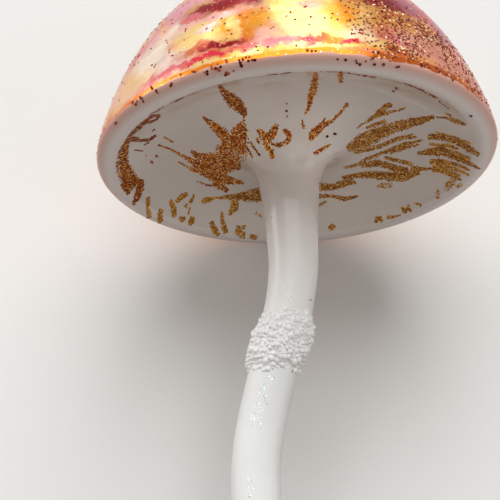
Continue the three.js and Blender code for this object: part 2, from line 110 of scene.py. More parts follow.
# Camera, from the photograph's view of the rim
cameraSettings = {
    "lens": 64.8,                 # mm, on a 36 mm sensor
    "sensor": 36.0,
    "frame": 500,                 # pixels
    "distance": 165.87 * mm,      # from the centre of the rim
    "below": math.radians(26.9),  # the view looks up under the cap
    "roll": math.radians(-3.53),
    "rimPixel": (295.7, 165.9),   # where the centre of the rim lies in the picture
}
focalPixels = cameraSettings["lens"] / cameraSettings["sensor"] * cameraSettings["frame"]
halfFrame = cameraSettings["frame"] / 2


def pixelRay(x, y):
    return Vector(((x - halfFrame) / focalPixels, (halfFrame - y) / focalPixels, 1))


def makeCamera():
    below, roll = cameraSettings["below"], cameraSettings["roll"]
    away = Vector((0, -math.cos(below), -math.sin(below)))
    level = (-away).cross(Vector((0, 0, 1))).normalized()
    upright = level.cross(-away)
    right = math.cos(roll) * level + math.sin(roll) * upright
    up = math.cos(roll) * upright - math.sin(roll) * level
    aim = Vector((0, 0, 1)).rotation_difference(pixelRay(*cameraSettings["rimPixel"]).normalized())
    rows = aim.to_matrix() @ Matrix((right, up, -away))
    data = bpy.data.cameras.new("camera")
    data.sensor_width = cameraSettings["sensor"]
    data.lens = cameraSettings["lens"]
    camera = bpy.data.objects.new("camera", data)
    turn = Matrix((rows[0], rows[1], -rows[2])).transposed()
    camera.matrix_world = Matrix.Translation(rimCentre + away * cameraSettings["distance"]) @ turn.to_4x4()
    bpy.context.scene.collection.objects.link(camera)
    bpy.context.scene.camera = camera
    return camera.matrix_world.translation.copy(), rows


cameraPlace, cameraRows = makeCamera()
print("camera set")


# Meshes
def newPiece(name, mesh, material):
    piece = bpy.data.objects.new(name, mesh)
    bpy.context.scene.collection.objects.link(piece)
    mesh.materials.clear()
    mesh.materials.append(material)
    return piece


def addPiece(name, mesh, material, node=None, body=glassBody):
    piece = newPiece(name, mesh, material)
    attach(piece, body)
    if node:
        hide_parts(node)


def meshFrom(name, points, faces, sharpAngle=35):
    mesh = bpy.data.meshes.new(name)
    mesh.from_pydata(points, [], faces)
    shape = bmesh.new()
    shape.from_mesh(mesh)
    bmesh.ops.remove_doubles(shape, verts=shape.verts, dist=1e-7)
    bmesh.ops.recalc_face_normals(shape, faces=shape.faces)
    shape.to_mesh(mesh)
    shape.free()
    mesh.shade_smooth()
    mesh.set_sharp_from_angle(angle=math.radians(sharpAngle))
    return mesh


def turnedMesh(name, profile, centreX, sides, lean=None):
    points, faces, rings = [], [], []
    for radius, height in profile:
        x = centreX - (lean(radius) if lean else 0)
        count = sides if radius > 1e-7 else 1
        rings.append(range(len(points), len(points) + count))
        for k in range(count):
            turn = 2 * math.pi * k / sides
            points.append((x + radius * math.cos(turn), radius * math.sin(turn), height))
    for low, high in zip(rings, rings[1:]):
        for k in range(sides):
            corners = [low[k % len(low)], low[(k + 1) % len(low)]]
            corners += [high[(k + 1) % len(high)], high[k % len(high)]]
            faces.append(list(dict.fromkeys(corners)))
    return meshFrom(name, points, faces)


def ringsMesh(name, rings, closed):
    sides = len(rings[0])
    points = [point for ring in rings for point in ring]
    faces = []
    pairs = list(zip(range(len(rings)), range(1, len(rings))))
    if closed:
        pairs.append((len(rings) - 1, 0))
    for low, high in pairs:
        for k in range(sides):
            after = (k + 1) % sides
            faces.append((low * sides + k, low * sides + after, high * sides + after, high * sides + k))
    return meshFrom(name, points, faces)


def cubic(start, pullStart, pullEnd, end, steps):
    corners = [Vector(p) for p in (start, pullStart, pullEnd, end)]
    run = []
    for i in range(steps + 1):
        t = i / steps
        shares = ((1 - t) ** 3, 3 * t * (1 - t) ** 2, 3 * t * t * (1 - t), t ** 3)
        run.append(tuple(sum((c * share for c, share in zip(corners, shares)), Vector((0, 0)))))
    return run


def smooth(value, start, end):
    t = min(max((value - start) / (end - start), 0), 1)
    return t * t * (3 - 2 * t)


def offsetRun(points, distance):
    moved = []
    for i, point in enumerate(points):
        before = Vector(points[max(i - 1, 0)])
        after = Vector(points[min(i + 1, len(points) - 1)])
        ahead = (after - before).normalized()
        moved.append((point[0] - ahead.y * distance, point[1] + ahead.x * distance))
    return moved


# Shader helpers
def tint(red, green, blue):
    parts = [((c / 255 + 0.055) / 1.055) ** 2.4 if c > 10 else c / 3294.6 for c in (red, green, blue)]
    return (*parts, 1)


def newMaterial(name, **sockets):
    material = bpy.data.materials.new(name)
    material.use_nodes = True
    tree = material.node_tree
    shader = tree.nodes["Principled BSDF"]
    for label, value in sockets.items():
        shader.inputs[label.replace("_", " ")].default_value = value
    return material, tree, shader


def addNode(tree, kind, settings=None, **inputs):
    node = tree.nodes.new(kind)
    for label, value in (settings or {}).items():
        setattr(node, label, value)
    for label, value in inputs.items():
        socket = node.inputs[int(label[2:])] if label.startswith("in") else node.inputs[label]
        if isinstance(value, bpy.types.NodeSocket):
            tree.links.new(value, socket)
        else:
            socket.default_value = value
    return node


def feed(tree, shader, **values):
    for label, value in values.items():
        tree.links.new(value, shader.inputs[label.replace("_", " ")])


def math2(tree, operation, first, second):
    return addNode(tree, "ShaderNodeMath", {"operation": operation}, in0=first, in1=second).outputs[0]


def vector2(tree, operation, first, second):
    return addNode(tree, "ShaderNodeVectorMath", {"operation": operation}, in0=first, in1=second).outputs[0]


def lengthOf(tree, vector):
    return addNode(tree, "ShaderNodeVectorMath", {"operation": "LENGTH"}, in0=vector).outputs["Value"]


def ranged(tree, value, start, end, **limits):
    return addNode(tree, "ShaderNodeMapRange", None, in0=value, in1=start, in2=end, **limits).outputs[0]


def mixColours(tree, mask, first, second):
    settings = {"data_type": "RGBA"}
    return addNode(tree, "ShaderNodeMix", settings, in0=mask, in6=first, in7=second).outputs[2]


def colourRamp(tree, value, stops):
    node = addNode(tree, "ShaderNodeValToRGB", None, Fac=value)
    elements = node.color_ramp.elements
    while len(elements) < len(stops):
        elements.new(1)
    for element, (position, colour) in zip(elements, stops):
        element.position = position
        element.color = colour
    return node.outputs["Color"]


def objectPlace(tree):
    return addNode(tree, "ShaderNodeTexCoord").outputs["Object"]


def newGroup(name, inputs, outputs):
    group = bpy.data.node_groups.new(name, "ShaderNodeTree")
    for label, kind, value in inputs:
        socket = group.interface.new_socket(label, in_out="INPUT", socket_type="NodeSocket" + kind)
        socket.default_value = value
    for label, kind in outputs:
        group.interface.new_socket(label, in_out="OUTPUT", socket_type="NodeSocket" + kind)
    return group, group.nodes.new("NodeGroupInput").outputs, group.nodes.new("NodeGroupOutput").inputs


grainSpread = (0.3, 0.7)  # stretch of the noise that runs from Low to High
patchFade = (1.35, 0.4)   # where a patch starts and where it is full, as shares of its reach
patchDepth = 30 * mm      # reach of every patch into the cap


def grainGroup():
    inputs = [("Vector", "Vector", (0, 0, 0)), ("Scale", "Float", 500)]
    inputs += [("Low", "Float", 0), ("High", "Float", 1)]
    group, source, result = newGroup("surfaceGrain", inputs, [("Value", "Float"), ("Height", "Float")])
    place, scale = source["Vector"], source["Scale"]
    settings = {"noise_dimensions": "3D"}
    node = addNode(group, "ShaderNodeTexNoise", settings, Vector=place, Scale=scale, Detail=4)
    cloud = node.outputs["Fac"]
    spread = ranged(group, cloud, *grainSpread, in3=source["Low"], in4=source["High"])
    group.links.new(spread, result["Value"])
    group.links.new(cloud, result["Height"])
    return group


def patchGroup():
    inputs = [("Vector", "Vector", (0, 0, 0)), ("Centre", "Vector", (0, 0, 0))]
    inputs += [("Radii", "Vector", (1, 1, 1))]
    group, source, result = newGroup("softPatch", inputs, [("Mask", "Float")])
    apart = vector2(group, "SUBTRACT", source["Vector"], source["Centre"])
    reach = lengthOf(group, vector2(group, "DIVIDE", apart, source["Radii"]))
    settings = {"interpolation_type": "SMOOTHSTEP"}
    start, full = patchFade
    fade = addNode(group, "ShaderNodeMapRange", settings, in0=reach, in1=start, in2=full)
    group.links.new(fade.outputs[0], result["Mask"])
    return group


surfaceGrain = grainGroup()
softPatch = patchGroup()


def grain(tree, place, scale, low=0.0, high=1.0):
    settings = {"node_tree": surfaceGrain}
    node = addNode(tree, "ShaderNodeGroup", settings, Vector=place, Scale=scale, Low=low, High=high)
    return node.outputs["Value"]


# Reach across and upwards, in mm
def patchMask(tree, place, centre, reach):
    settings = {"node_tree": softPatch}
    radii = (reach[0] * mm, patchDepth, reach[1] * mm)
    node = addNode(tree, "ShaderNodeGroup", settings, Vector=place, Centre=centre, Radii=radii)
    return node.outputs["Mask"]


def addBump(tree, shader, place, scale, strength, depth):
    settings = {"node_tree": surfaceGrain}
    height = addNode(tree, "ShaderNodeGroup", settings, Vector=place, Scale=scale).outputs["Height"]
    bump = addNode(tree, "ShaderNodeBump", None, Height=height, Strength=strength, Distance=depth)
    feed(tree, shader, Normal=bump.outputs["Normal"])


# Opal glass: polished in the bowl and on the lip, satin on the stem
opal = {
    "bowl": tint(242, 234, 228),
    "stem": tint(246, 248, 246),
    "lip": tint(250, 243, 240),
    "blush": tint(230, 178, 162),    # tint of the lip beside the lustre
    "blushDepth": 1.8 * mm,
    "polishEnd": 2 * mm,             # below the rim, where the polish of the bowl starts to fade
    "satinStart": 34 * mm,           # below the rim, where the satin of the stem is full
    "cloud": (55, 0.94, 1.03),       # scale, least and most of its milkiness
    "frost": (240, 0.08, 0.16),      # scale, least and most of its roughness
    "satin": 0.42,                   # roughness added on the stem
    "polish": 0.4,                   # weight of the coat in the bowl
    "ripple": (130, 0.1, 0.3 * mm),  # scale, strength and depth of its bumps
}


def makeOpal():
    material, tree, shader = newMaterial("opalGlass", Coat_Roughness=0.02, Specular_IOR_Level=0.25)
    place = objectPlace(tree)
    height = addNode(tree, "ShaderNodeSeparateXYZ", None, Vector=place).outputs["Z"]
    satin = ranged(tree, height, rimZ - opal["polishEnd"], rimZ - opal["satinStart"])
    milk = mixColours(tree, satin, opal["bowl"], opal["stem"])
    rough = math2(tree, "MULTIPLY", satin, opal["satin"])
    worn = math2(tree, "MULTIPLY", satin, opal["polish"])
    feed(
        tree,
        shader,
        Base_Color=vector2(tree, "MULTIPLY", milk, grain(tree, place, *opal["cloud"])),
        Roughness=math2(tree, "ADD", grain(tree, place, *opal["frost"]), rough),
        Coat_Weight=math2(tree, "SUBTRACT", opal["polish"], worn),
    )
    addBump(tree, shader, place, *opal["ripple"])
    return material


# Lustre of the cap: colours by place, some of them painted reflections and highlights, then the orange line
# at the rim and the white lip under it
lustre = {
    "gold": tint(246, 160, 44),
    "straw": tint(254, 218, 134),
    "cream": tint(255, 246, 224),
    "orange": tint(240, 118, 20),
    "amber": tint(186, 88, 14),
    "brass": tint(216, 146, 66),
    "copper": tint(218, 120, 74),
    "blossom": tint(250, 186, 172),
    "pink": tint(240, 130, 134),
    "rose": tint(222, 54, 70),
    "crimson": tint(146, 4, 22),
    "mauve": tint(176, 100, 112),
    "lilac": tint(236, 176, 184),
    "petal": tint(255, 226, 214),
    "peach": tint(255, 222, 178),
    "rosy": tint(228, 158, 130),
    "rimLine": 1.05 * mm,          # height of the orange line
    "rimSlope": 0.4 * mm,          # how much higher it stands at the right of the cap, and lower at the left
    "lineFade": (0.15 * mm, 0.25 * mm),  # how far it fades above that height, and below
    "lineScale": 140,              # of its orange and gold
    "roseLine": 0.8 * mm,          # height of the rose line above it
    "roseFoot": 0.2 * mm,          # height at which the rose is full
    "roseShare": (70, -0.2, 0.9),  # scale, least and most of its strength
    "roseEnd": 24 * mm,            # where the rose line ends, right of the cap's axis
    "wave": (260, -0.3 * mm, 0.3 * mm),  # scale, lowest and highest of the waves in these lines
    "wander": (150, 5 * mm),       # scale, and how far the borders of the patches stray
    "ruffle": (600, 3 * mm),       # scale, and how far they fray
    "swirl": (45, 22 * mm),        # scale, and how far the free colours swirl
    "freeColours": ("crimson", "rose", "pink", "straw", "gold", "straw", "blossom", "rose"),
    "freeScale": 40,
    "freeStretch": (1, 1, 2.2),
    "freeStart": 0.04,             # place of the first free colour on its ramp
    "freeStep": 0.13,              # from each colour to the next
    "flecks": (2600, -6.5, 1.0),   # scale, least and most of the pale flecks, painted glints
    "streakStretch": (1, 1, 5),
    "streaks": (170, 0.86, 1.08),  # scale, least and most of their brightness
    "paintEdge": 0.06 * mm,        # softness of the edge between lustre and lip
    "rough": (300, 0.14, 0.24),    # scale, least and most of its roughness
    "ripple": (110, 0.12, 0.4 * mm),  # scale, strength and depth of its bumps
    "metal": 0.5,
    "edge": tint(220, 150, 158),   # tint of its gloss towards the outline
}
# Patches seen in the photograph: pixel, reach across and upwards in mm, colour
lustreAndReflectionPatches = {
    "leftBlush": ((174, 46), (8.0, 7.0), "petal"),
    # leftEdge and leftEdgeTop: painted reflection, a mauve band along the outline where the lustre reflects
    # shade at a slant.
    "leftEdge": ((153, 38), (1.1, 4.0), "lilac"),
    "leftEdgeTop": ((176, 14), (2.4, 5.0), "lilac"),
    "leftFoot": ((128, 88), (5.0, 4.0), "peach"),
    # leftStraw and leftWindow: painted highlight of a window on the left flank, white with a yellow rim.
    "leftStraw": ((138, 70), (3.0, 3.4), "straw"),
    "leftWindow": ((149, 56), (3.8, 3.8), "cream"),
    "leftPink": ((178, 44), (2.2, 1.4), "pink"),
    "footPink": ((160, 75), (4.0, 1.0), "pink"),
    # leftCream: painted highlight of the same window, higher up the flank.
    "leftCream": ((174, 28), (1.6, 1.4), "cream"),
    "goldField": ((204, 32), (6.4, 4.0), "straw"),
    "goldLow": ((198, 39), (2.8, 1.8), "straw"),
    "goldCore": ((210, 29), (3.0, 1.4), "petal"),
    "goldEdge": ((229, 26), (2.2, 2.6), "gold"),
    "pinkArc": ((216, 16), (6.0, 1.4), "blossom"),
    "crownMauve": ((190, 5), (2.4, 2.0), "lilac"),
    "crownCrimson": ((228, 1), (8.0, 2.7), "crimson"),
    "crownTail": ((206, 8), (3.6, 0.9), "crimson"),
    "crownPink": ((193, 17), (2.2, 1.0), "pink"),
    "crownHook": ((241, 15), (1.9, 1.9), "copper"),
    "orangeEdge": ((244, 26), (1.4, 4.2), "orange"),
    # strawEdge: painted reflection of a second overhead window pane, under the skylightPane lamp's real
    # reflection.
    "strawEdge": ((235, 25), (1.0, 3.2), "straw"),
    "goldSide": ((255, 20), (2.4, 4.0), "gold"),
    "creamField": ((270, 34), (2.8, 2.2), "blossom"),
    "rimCopper": ((202, 49), (4.6, 1.1), "copper"),
    "rimCrimson": ((222, 45), (3.8, 0.9), "crimson"),
    "rimPink": ((209, 56), (6.0, 0.8), "rose"),
    # frontStraw: painted reflection of the overhead window, under the skylight lamp's real reflection.
    "frontStraw": ((312, 16), (6.6, 9.0), "straw"),
    "topRosy": ((315, 2), (3.4, 1.5), "rosy"),
    "frontRosy": ((280, 41), (3.0, 1.2), "pink"),
    "frontPink": ((320, 40), (4.4, 0.9), "rose"),
    "rightBlossom": ((340, 40), (3.0, 1.2), "orange"),
    "rightStraw": ((356, 18), (3.6, 4.4), "straw"),
    "rightGold": ((340, 11), (3.2, 4.6), "gold"),
    "rightPeach": ((362, 34), (3.4, 2.2), "peach"),
    "rightBrass": ((386, 22), (3.6, 4.0), "brass"),
    "rightCopper": ((394, 36), (4.4, 2.4), "copper"),
    "rightRose": ((349, 43), (1.8, 0.7), "rose"),
    "rightCrimson": ((384, 2), (7.0, 2.6), "crimson"),
    "crownRose": ((410, 8), (3.2, 3.0), "mauve"),
    "shoulderRust": ((396, 16), (2.6, 1.8), "amber"),
    "shoulderBrass": ((416, 28), (4.2, 3.2), "brass"),
    "shoulderRose": ((404, 44), (3.0, 1.4), "pink"),
    "shoulderAmber": ((401, 54), (3.2, 1.2), "amber"),
    "shoulderRosy": ((428, 48), (6.0, 3.6), "rosy"),
    # shoulderMauve: painted reflection, a mauve band along the outline.
    "shoulderMauve": ((444, 36), (1.8, 5.0), "mauve"),
    "lowRosy": ((452, 66), (5.0, 3.2), "rosy"),
    "lowCopper": ((458, 84), (4.0, 1.6), "copper"),
    "lowPink": ((480, 98), (5.0, 3.6), "rosy"),
}
rimAmber = {"pixel": (414, 63), "reach": (11, 4)}  # where the orange line is deepest, reach in mm
rimEnds = {"left": (105, 132), "right": (490, 126), "reach": (4.5, 6)}  # where it turns rosy


def strayed(tree, place, scale, reach):
    drift = addNode(tree, "ShaderNodeTexNoise", None, Vector=place, Scale=scale, Detail=6).outputs["Color"]
    stray = vector2(tree, "MULTIPLY", vector2(tree, "SUBTRACT", drift, (0.5,) * 3), (reach,) * 3)
    return vector2(tree, "ADD", place, stray)


# Free colours, then the patches over them in their order, some of them painted reflections and highlights
def capDyeAndReflections(tree, warped, patchCentres):
    swirled = strayed(tree, warped, *lustre["swirl"])
    stretched = vector2(tree, "MULTIPLY", swirled, lustre["freeStretch"])
    places = [lustre["freeStart"] + lustre["freeStep"] * i for i in range(len(lustre["freeColours"]))]
    stops = [(place, lustre[name]) for place, name in zip(places, lustre["freeColours"])]
    colour = colourRamp(tree, grain(tree, stretched, lustre["freeScale"]), stops)
    for name, (_, reach, finish) in lustreAndReflectionPatches.items():
        mask = patchMask(tree, warped, patchCentres[name], reach)
        colour = mixColours(tree, mask, colour, lustre[finish])
    return colour


# Rose and orange lines, with level measured up from the rim
def lineRim(tree, place, x, level, colour, patchCentres):
    line = lustre["rimLine"]
    rightward = math2(tree, "SUBTRACT", x, capX)
    tilt = math2(tree, "MULTIPLY", rightward, lustre["rimSlope"] / cap["radius"])
    level = math2(tree, "SUBTRACT", level, tilt)
    rose = ranged(tree, level, line + lustre["roseLine"], line + lustre["roseFoot"])
    share = ranged(tree, rightward, lustre["roseEnd"], lustre["roseEnd"] / 2)
    share = math2(tree, "MULTIPLY", grain(tree, place, *lustre["roseShare"]), share)
    colour = mixColours(tree, math2(tree, "MULTIPLY", rose, share), colour, lustre["rose"])
    lineColour = mixColours(tree, grain(tree, place, lustre["lineScale"]), lustre["orange"], lustre["gold"])
    deep = patchMask(tree, place, patchCentres["rimLine"], rimAmber["reach"])
    lineColour = mixColours(tree, deep, lineColour, lustre["amber"])
    for side in ("left", "right"):
        pale = patchMask(tree, place, patchCentres[side], rimEnds["reach"])
        lineColour = mixColours(tree, pale, lineColour, lustre["rosy"])
    above, below = lustre["lineFade"]
    return mixColours(tree, ranged(tree, level, line + above, line - below), colour, lineColour)


def lipColour(tree, place):
    spoke = vector2(tree, "MULTIPLY", vector2(tree, "SUBTRACT", place, (capX, 0, 0)), (1, 1, 0))
    blush = ranged(tree, lengthOf(tree, spoke), cap["radius"] - opal["blushDepth"], cap["radius"])
    return mixColours(tree, blush, opal["lip"], opal["blush"])


def makeLustre(patchCentres):
    gloss = {"Coat_Weight": 0.12, "Coat_Roughness": 0.03, "Specular_IOR_Level": 0.12}
    material, tree, shader = newMaterial("lustreCap", Specular_Tint=lustre["edge"], **gloss)
    place = objectPlace(tree)
    warped = strayed(tree, strayed(tree, place, *lustre["ruffle"]), *lustre["wander"])
    axes = addNode(tree, "ShaderNodeSeparateXYZ", None, Vector=place).outputs
    level = math2(tree, "SUBTRACT", axes["Z"], rimZ)
    level = math2(tree, "ADD", level, grain(tree, place, *lustre["wave"]))
    colour = capDyeAndReflections(tree, warped, patchCentres)
    colour = lineRim(tree, place, axes["X"], level, colour, patchCentres)
    # Painted glints: pale cream flecks over the lustre.
    colour = mixColours(tree, grain(tree, place, *lustre["flecks"]), colour, lustre["cream"])
    streaked = vector2(tree, "MULTIPLY", warped, lustre["streakStretch"])
    colour = vector2(tree, "MULTIPLY", colour, grain(tree, streaked, *lustre["streaks"]))
    painted = ranged(tree, level, -lustre["paintEdge"], lustre["paintEdge"])
    feed(
        tree,
        shader,
        Base_Color=mixColours(tree, painted, lipColour(tree, place), colour),
        Metallic=math2(tree, "MULTIPLY", painted, lustre["metal"]),
        Roughness=grain(tree, place, *lustre["rough"]),
    )
    addBump(tree, shader, place, *lustre["ripple"])
    return material


# Finishes of two grained tones: scale of the tones, then scale, least and most of the roughness, and
# scale, strength and depth of the bumps
steel = {
    "toneScale": 260,
    "rough": (900, 0.22, 0.38),
    "bump": (900, 0.12, 0.05 * mm),
    "sockets": {"Metallic": 1.0},
}
glueShade = {
    "toneScale": 2800,
    "rough": (1500, 0.45, 0.7),
    "sockets": {"Specular_IOR_Level": 0.2},
}
grainedFinishes = {
    "crumbGlass": {
        "tones": (tint(248, 249, 247), tint(255, 255, 254)),
        "toneScale": 700,
        "rough": (1500, 0.3, 0.55),
        "bump": (3000, 0.2, 0.06 * mm),
        "sockets": {
            "Coat_Weight": 0.15,
            "Coat_Roughness": 0.15,
            "Subsurface_Weight": 0.3,  # light soaks a little way into the crumbs
            "Subsurface_Radius": (0.8, 0.8, 0.75),
            "Subsurface_Scale": 0.8 * mm,
        },
    },
    "neckPlaster": {
        "tones": (tint(196, 188, 172), tint(226, 220, 207)),
        "toneScale": 420,
        "rough": (900, 0.75, 0.95),
        "bump": (1600, 0.5, 0.15 * mm),
    },
    "tinnedSteel": dict(steel, tones=(tint(186, 187, 190), tint(222, 222, 223)), brush=(0.06, 1, 1)),
    "springSteel": dict(steel, tones=(tint(120, 121, 126), tint(170, 171, 176)), brush=(1, 0.2, 1)),
    # The glue tones are dark: painted shade, standing in for the shade between the glitter flakes.
    "copperGlueShade": dict(glueShade, tones=(tint(122, 42, 6), tint(208, 118, 28))),
    "russetGlueShade": dict(glueShade, tones=(tint(108, 38, 4), tint(184, 102, 22))),
    "tawnyGlueShade": dict(glueShade, tones=(tint(120, 62, 10), tint(202, 144, 56))),
}
# Flakes: share of metal, and tones by place on a ramp
flakeFinishes = {
    "copperFlake": (0.3, {
        0: (96, 14, 4), 0.34: (154, 58, 6), 0.52: (220, 126, 24),
        0.7: (240, 166, 60), 0.85: (255, 218, 130), 1: (255, 246, 210),
    }),
    "russetFlake": (0.3, {
        0: (88, 18, 2), 0.4: (146, 66, 6), 0.7: (200, 116, 24), 0.88: (242, 184, 92), 1: (255, 234, 184),
    }),
    "tawnyFlake": (0.25, {
        0: (92, 26, 4), 0.35: (160, 84, 16), 0.6: (202, 138, 50), 0.82: (242, 196, 112), 1: (255, 236, 186),
    }),
    "honeyFlake": (0.2, {0: (140, 76, 12), 0.4: (188, 126, 36), 0.75: (230, 174, 78), 1: (255, 222, 150)}),
    "umberFlake": (0.3, {
        0: (82, 14, 14), 0.5: (130, 40, 30), 0.76: (178, 92, 56), 0.9: (240, 190, 130), 1: (255, 242, 214),
    }),
    "maroonFlake": (0.3, {0: (64, 10, 8), 0.6: (112, 32, 18), 1: (176, 92, 44)}),
    "pearlFlake": (0.9, {
        0: (255, 255, 255), 0.5: (255, 255, 255), 0.62: (186, 184, 186),
        0.74: (230, 140, 192), 0.88: (140, 238, 208), 1: (255, 255, 255),
    }),
}
flakeRoughness = (2600, 0.28, 0.5)  # scale, least and most


def makeGrained(name, finish):
    material, tree, shader = newMaterial(name, **finish.get("sockets", {}))
    place = objectPlace(tree)
    tones = mixColours(tree, grain(tree, place, finish["toneScale"]), *finish["tones"])
    if "brush" in finish:
        place = vector2(tree, "MULTIPLY", place, finish["brush"])
    feed(tree, shader, Base_Color=tones, Roughness=grain(tree, place, *finish["rough"]))
    if "bump" in finish:
        addBump(tree, shader, place, *finish["bump"])
    return material


def makeFlake(name, metal, tones):
    material, tree, shader = newMaterial(name, Metallic=metal, Specular_IOR_Level=0.2)
    tone = addNode(tree, "ShaderNodeAttribute", {"attribute_name": "flakeTone"}).outputs["Fac"]
    stops = [(place, tint(*colour)) for place, colour in tones.items()]
    rough = grain(tree, objectPlace(tree), *flakeRoughness)
    feed(tree, shader, Base_Color=colourRamp(tree, tone, stops), Roughness=rough)
    return material


finishes = {"opalGlass": makeOpal()}
for name, finish in grainedFinishes.items():
    finishes[name] = makeGrained(name, finish)
for name, (metal, tones) in flakeFinishes.items():
    finishes[name] = makeFlake(name, metal, tones)
print("finishes made")


# Cap: dome, rolled lip and inner wall, turned about the cap's axis
def domePoint(turn, radius, height):
    out = radius * math.sin(turn) ** (2 / cap["shoulder"])
    return (out, rimZ + height * max(math.cos(turn), 0) ** (2 / cap["flank"]))


def domeRun(radius, height, steps):
    return [domePoint(math.pi / 2 * i / steps, radius, height) for i in range(steps + 1)]


lipEdge = (cap["radius"] - cap["lipWidth"], rimZ - cap["lipEdgeDrop"])
# Down the slope of the lip, outwards
lipAlong = Vector((math.cos(cap["lipSlope"]), -math.sin(cap["lipSlope"])))


def capProfile(domeSteps=64, lipSteps=14):
    outer = domeRun(cap["radius"], capHeight, domeSteps)
    lowest = cap["radius"] - cap["lipRoll"]
    for i in range(1, lipSteps + 1):
        turn = math.pi / 2 * i / lipSteps
        outer.append((lowest + cap["lipRoll"] * math.cos(turn), rimZ - cap["lipDrop"] * math.sin(turn)))
    pull = (cap["lipWidth"] - cap["lipRoll"]) / 3
    lowPoint = Vector((lowest, rimZ - cap["lipDrop"]))
    edge = Vector(lipEdge)
    outer += cubic(lowPoint, lowPoint - Vector((pull, 0)), edge + lipAlong * pull, edge, lipSteps)[1:]
    behind = edge + Vector((math.sin(cap["lipSlope"]), math.cos(cap["lipSlope"]))) * cap["wall"]
    inner = domeRun(cap["radius"] - cap["wall"], capHeight - cap["wall"], domeSteps)[:-1]
    return outer + [tuple(behind), (lowest, rimZ + cap["wall"] - cap["lipDrop"])] + inner[::-1]


def rayHit(tree, x, y):
    ray = pixelRay(x, y)
    ahead = (cameraRows[0] * ray.x + cameraRows[1] * ray.y + cameraRows[2]).normalized()
    place, normal, _, _ = tree.ray_cast(cameraPlace, ahead)
    if place is None or normal.dot(ahead) > 0:
        return None
    return place


def surfaceTree(*meshes):
    shape = bmesh.new()
    for mesh in meshes:
        shape.from_mesh(mesh)
    tree = BVHTree.FromBMesh(shape)
    shape.free()
    return tree


capMesh = turnedMesh("lustreCap", capProfile(), capX, cap["sides"])
capTree = surfaceTree(capMesh)
patchCentres = {name: rayHit(capTree, *patch[0]) for name, patch in lustreAndReflectionPatches.items()}
patchCentres["rimLine"] = rayHit(capTree, *rimAmber["pixel"])
for side in ("left", "right"):
    patchCentres[side] = rayHit(capTree, *rimEnds[side])
addPiece("lustreCap", capMesh, makeLustre(patchCentres), "cap_shell")
print("cap made")


# Bowl under the cap, flaring into the throat
bowl = {
    "wall": 1.0 * mm,
    "rise": 4.9 * mm,          # highest ring, above the rim
    "crestRadius": 17 * mm,
    "flarePull": 0.6,
    "crestPull": 0.45,
    "rimPull": 0.3,
    "seam": 0.02 * mm,         # how far the bowl sits behind the edge of the lip
    "steps": 34,
}
throatRadius = stem["radius"] + stem["flare"]


def bowlRun():
    crest = Vector((bowl["crestRadius"], rimZ + bowl["rise"]))
    throat = Vector((throatRadius, rimZ - stem["throatDrop"]))
    climb = bowl["flarePull"] * (crest.y - throat.y)
    up = Vector((climb * stem["flare"] / stem["flareFade"], climb))
    level = Vector((crest.x - throat.x, 0)) * bowl["flarePull"]
    edge = Vector(lipEdge) + Vector((-lipAlong.y, lipAlong.x)) * bowl["seam"]
    out = Vector((edge.x - crest.x, 0))
    trumpet = cubic(throat, throat + up, crest - level, crest, bowl["steps"])
    inward = lipAlong * out.x * bowl["rimPull"]
    saucer = cubic(crest, crest + out * bowl["crestPull"], edge - inward, edge, bowl["steps"])
    return trumpet + saucer[1:]


def throatLean(radius):
    return stem["rootOffset"] * (1 - smooth(radius, throatRadius, bowl["crestRadius"]))


bowlFace = bowlRun()
bowlProfile = bowlFace + offsetRun(bowlFace, bowl["wall"])[::-1] + bowlFace[:1]
bowlMesh = turnedMesh("gillBowl", bowlProfile, capX, cap["sides"], throatLean)
addPiece("gillBowl", bowlMesh, finishes["opalGlass"], "gill_dish")
undersideTree = surfaceTree(bowlMesh, capMesh)
print("bowl made")


# Stem: its centre line lies in the X-Z plane, with s measured down from the rim
def stemX(s):
    return capX - stem["rootOffset"] - stemSway * smooth(s, stem["swayStart"], stem["swayEnd"])


def stemOuter(s):
    return stem["radius"] + stem["flare"] * math.exp(-max(s - stem["throatDrop"], 0) / stem["flareFade"])


def stemLean(s):
    step = 0.01 * mm
    return math.atan2(stemX(s + step) - stemX(s - step), 2 * step)


def squareRing(s, radius, sides):
    lean = stemLean(s)
    ring = []
    for k in range(sides):
        turn = 2 * math.pi * k / sides
        side = radius * math.cos(turn)
        x, z = stemX(s) + side * math.cos(lean), rimZ - s + side * math.sin(lean)
        ring.append((x, radius * math.sin(turn), z))
    return ring


def makeStem(rows=150, innerStep=10):
    marks = [stem["throatDrop"] + (stemLength - stem["throatDrop"]) * i / rows for i in range(rows + 1)]
    outer = [squareRing(s, stemOuter(s), stem["sides"]) for s in marks]
    inner = [squareRing(s, stemOuter(s) - stem["wall"], stem["sides"]) for s in marks[::innerStep]]
    return ringsMesh("glassStem", outer + inner[::-1], closed=True)


stemMesh = makeStem()
addPiece("glassStem", stemMesh, finishes["opalGlass"], "stem_tube")
stemTree = surfaceTree(stemMesh)
print("stem made")


# Geometry Nodes
def newTree(name, inputs):
    tree = bpy.data.node_groups.new(name, "GeometryNodeTree")
    tree.interface.new_socket("Geometry", in_out="INPUT", socket_type="NodeSocketGeometry")
    for label, kind, value in inputs:
        socket = tree.interface.new_socket(label, in_out="INPUT", socket_type="NodeSocket" + kind)
        if value is not None:
            socket.default_value = value
    tree.interface.new_socket("Geometry", in_out="OUTPUT", socket_type="NodeSocketGeometry")
    return tree, tree.nodes.new("NodeGroupInput").outputs, tree.nodes.new("NodeGroupOutput").inputs


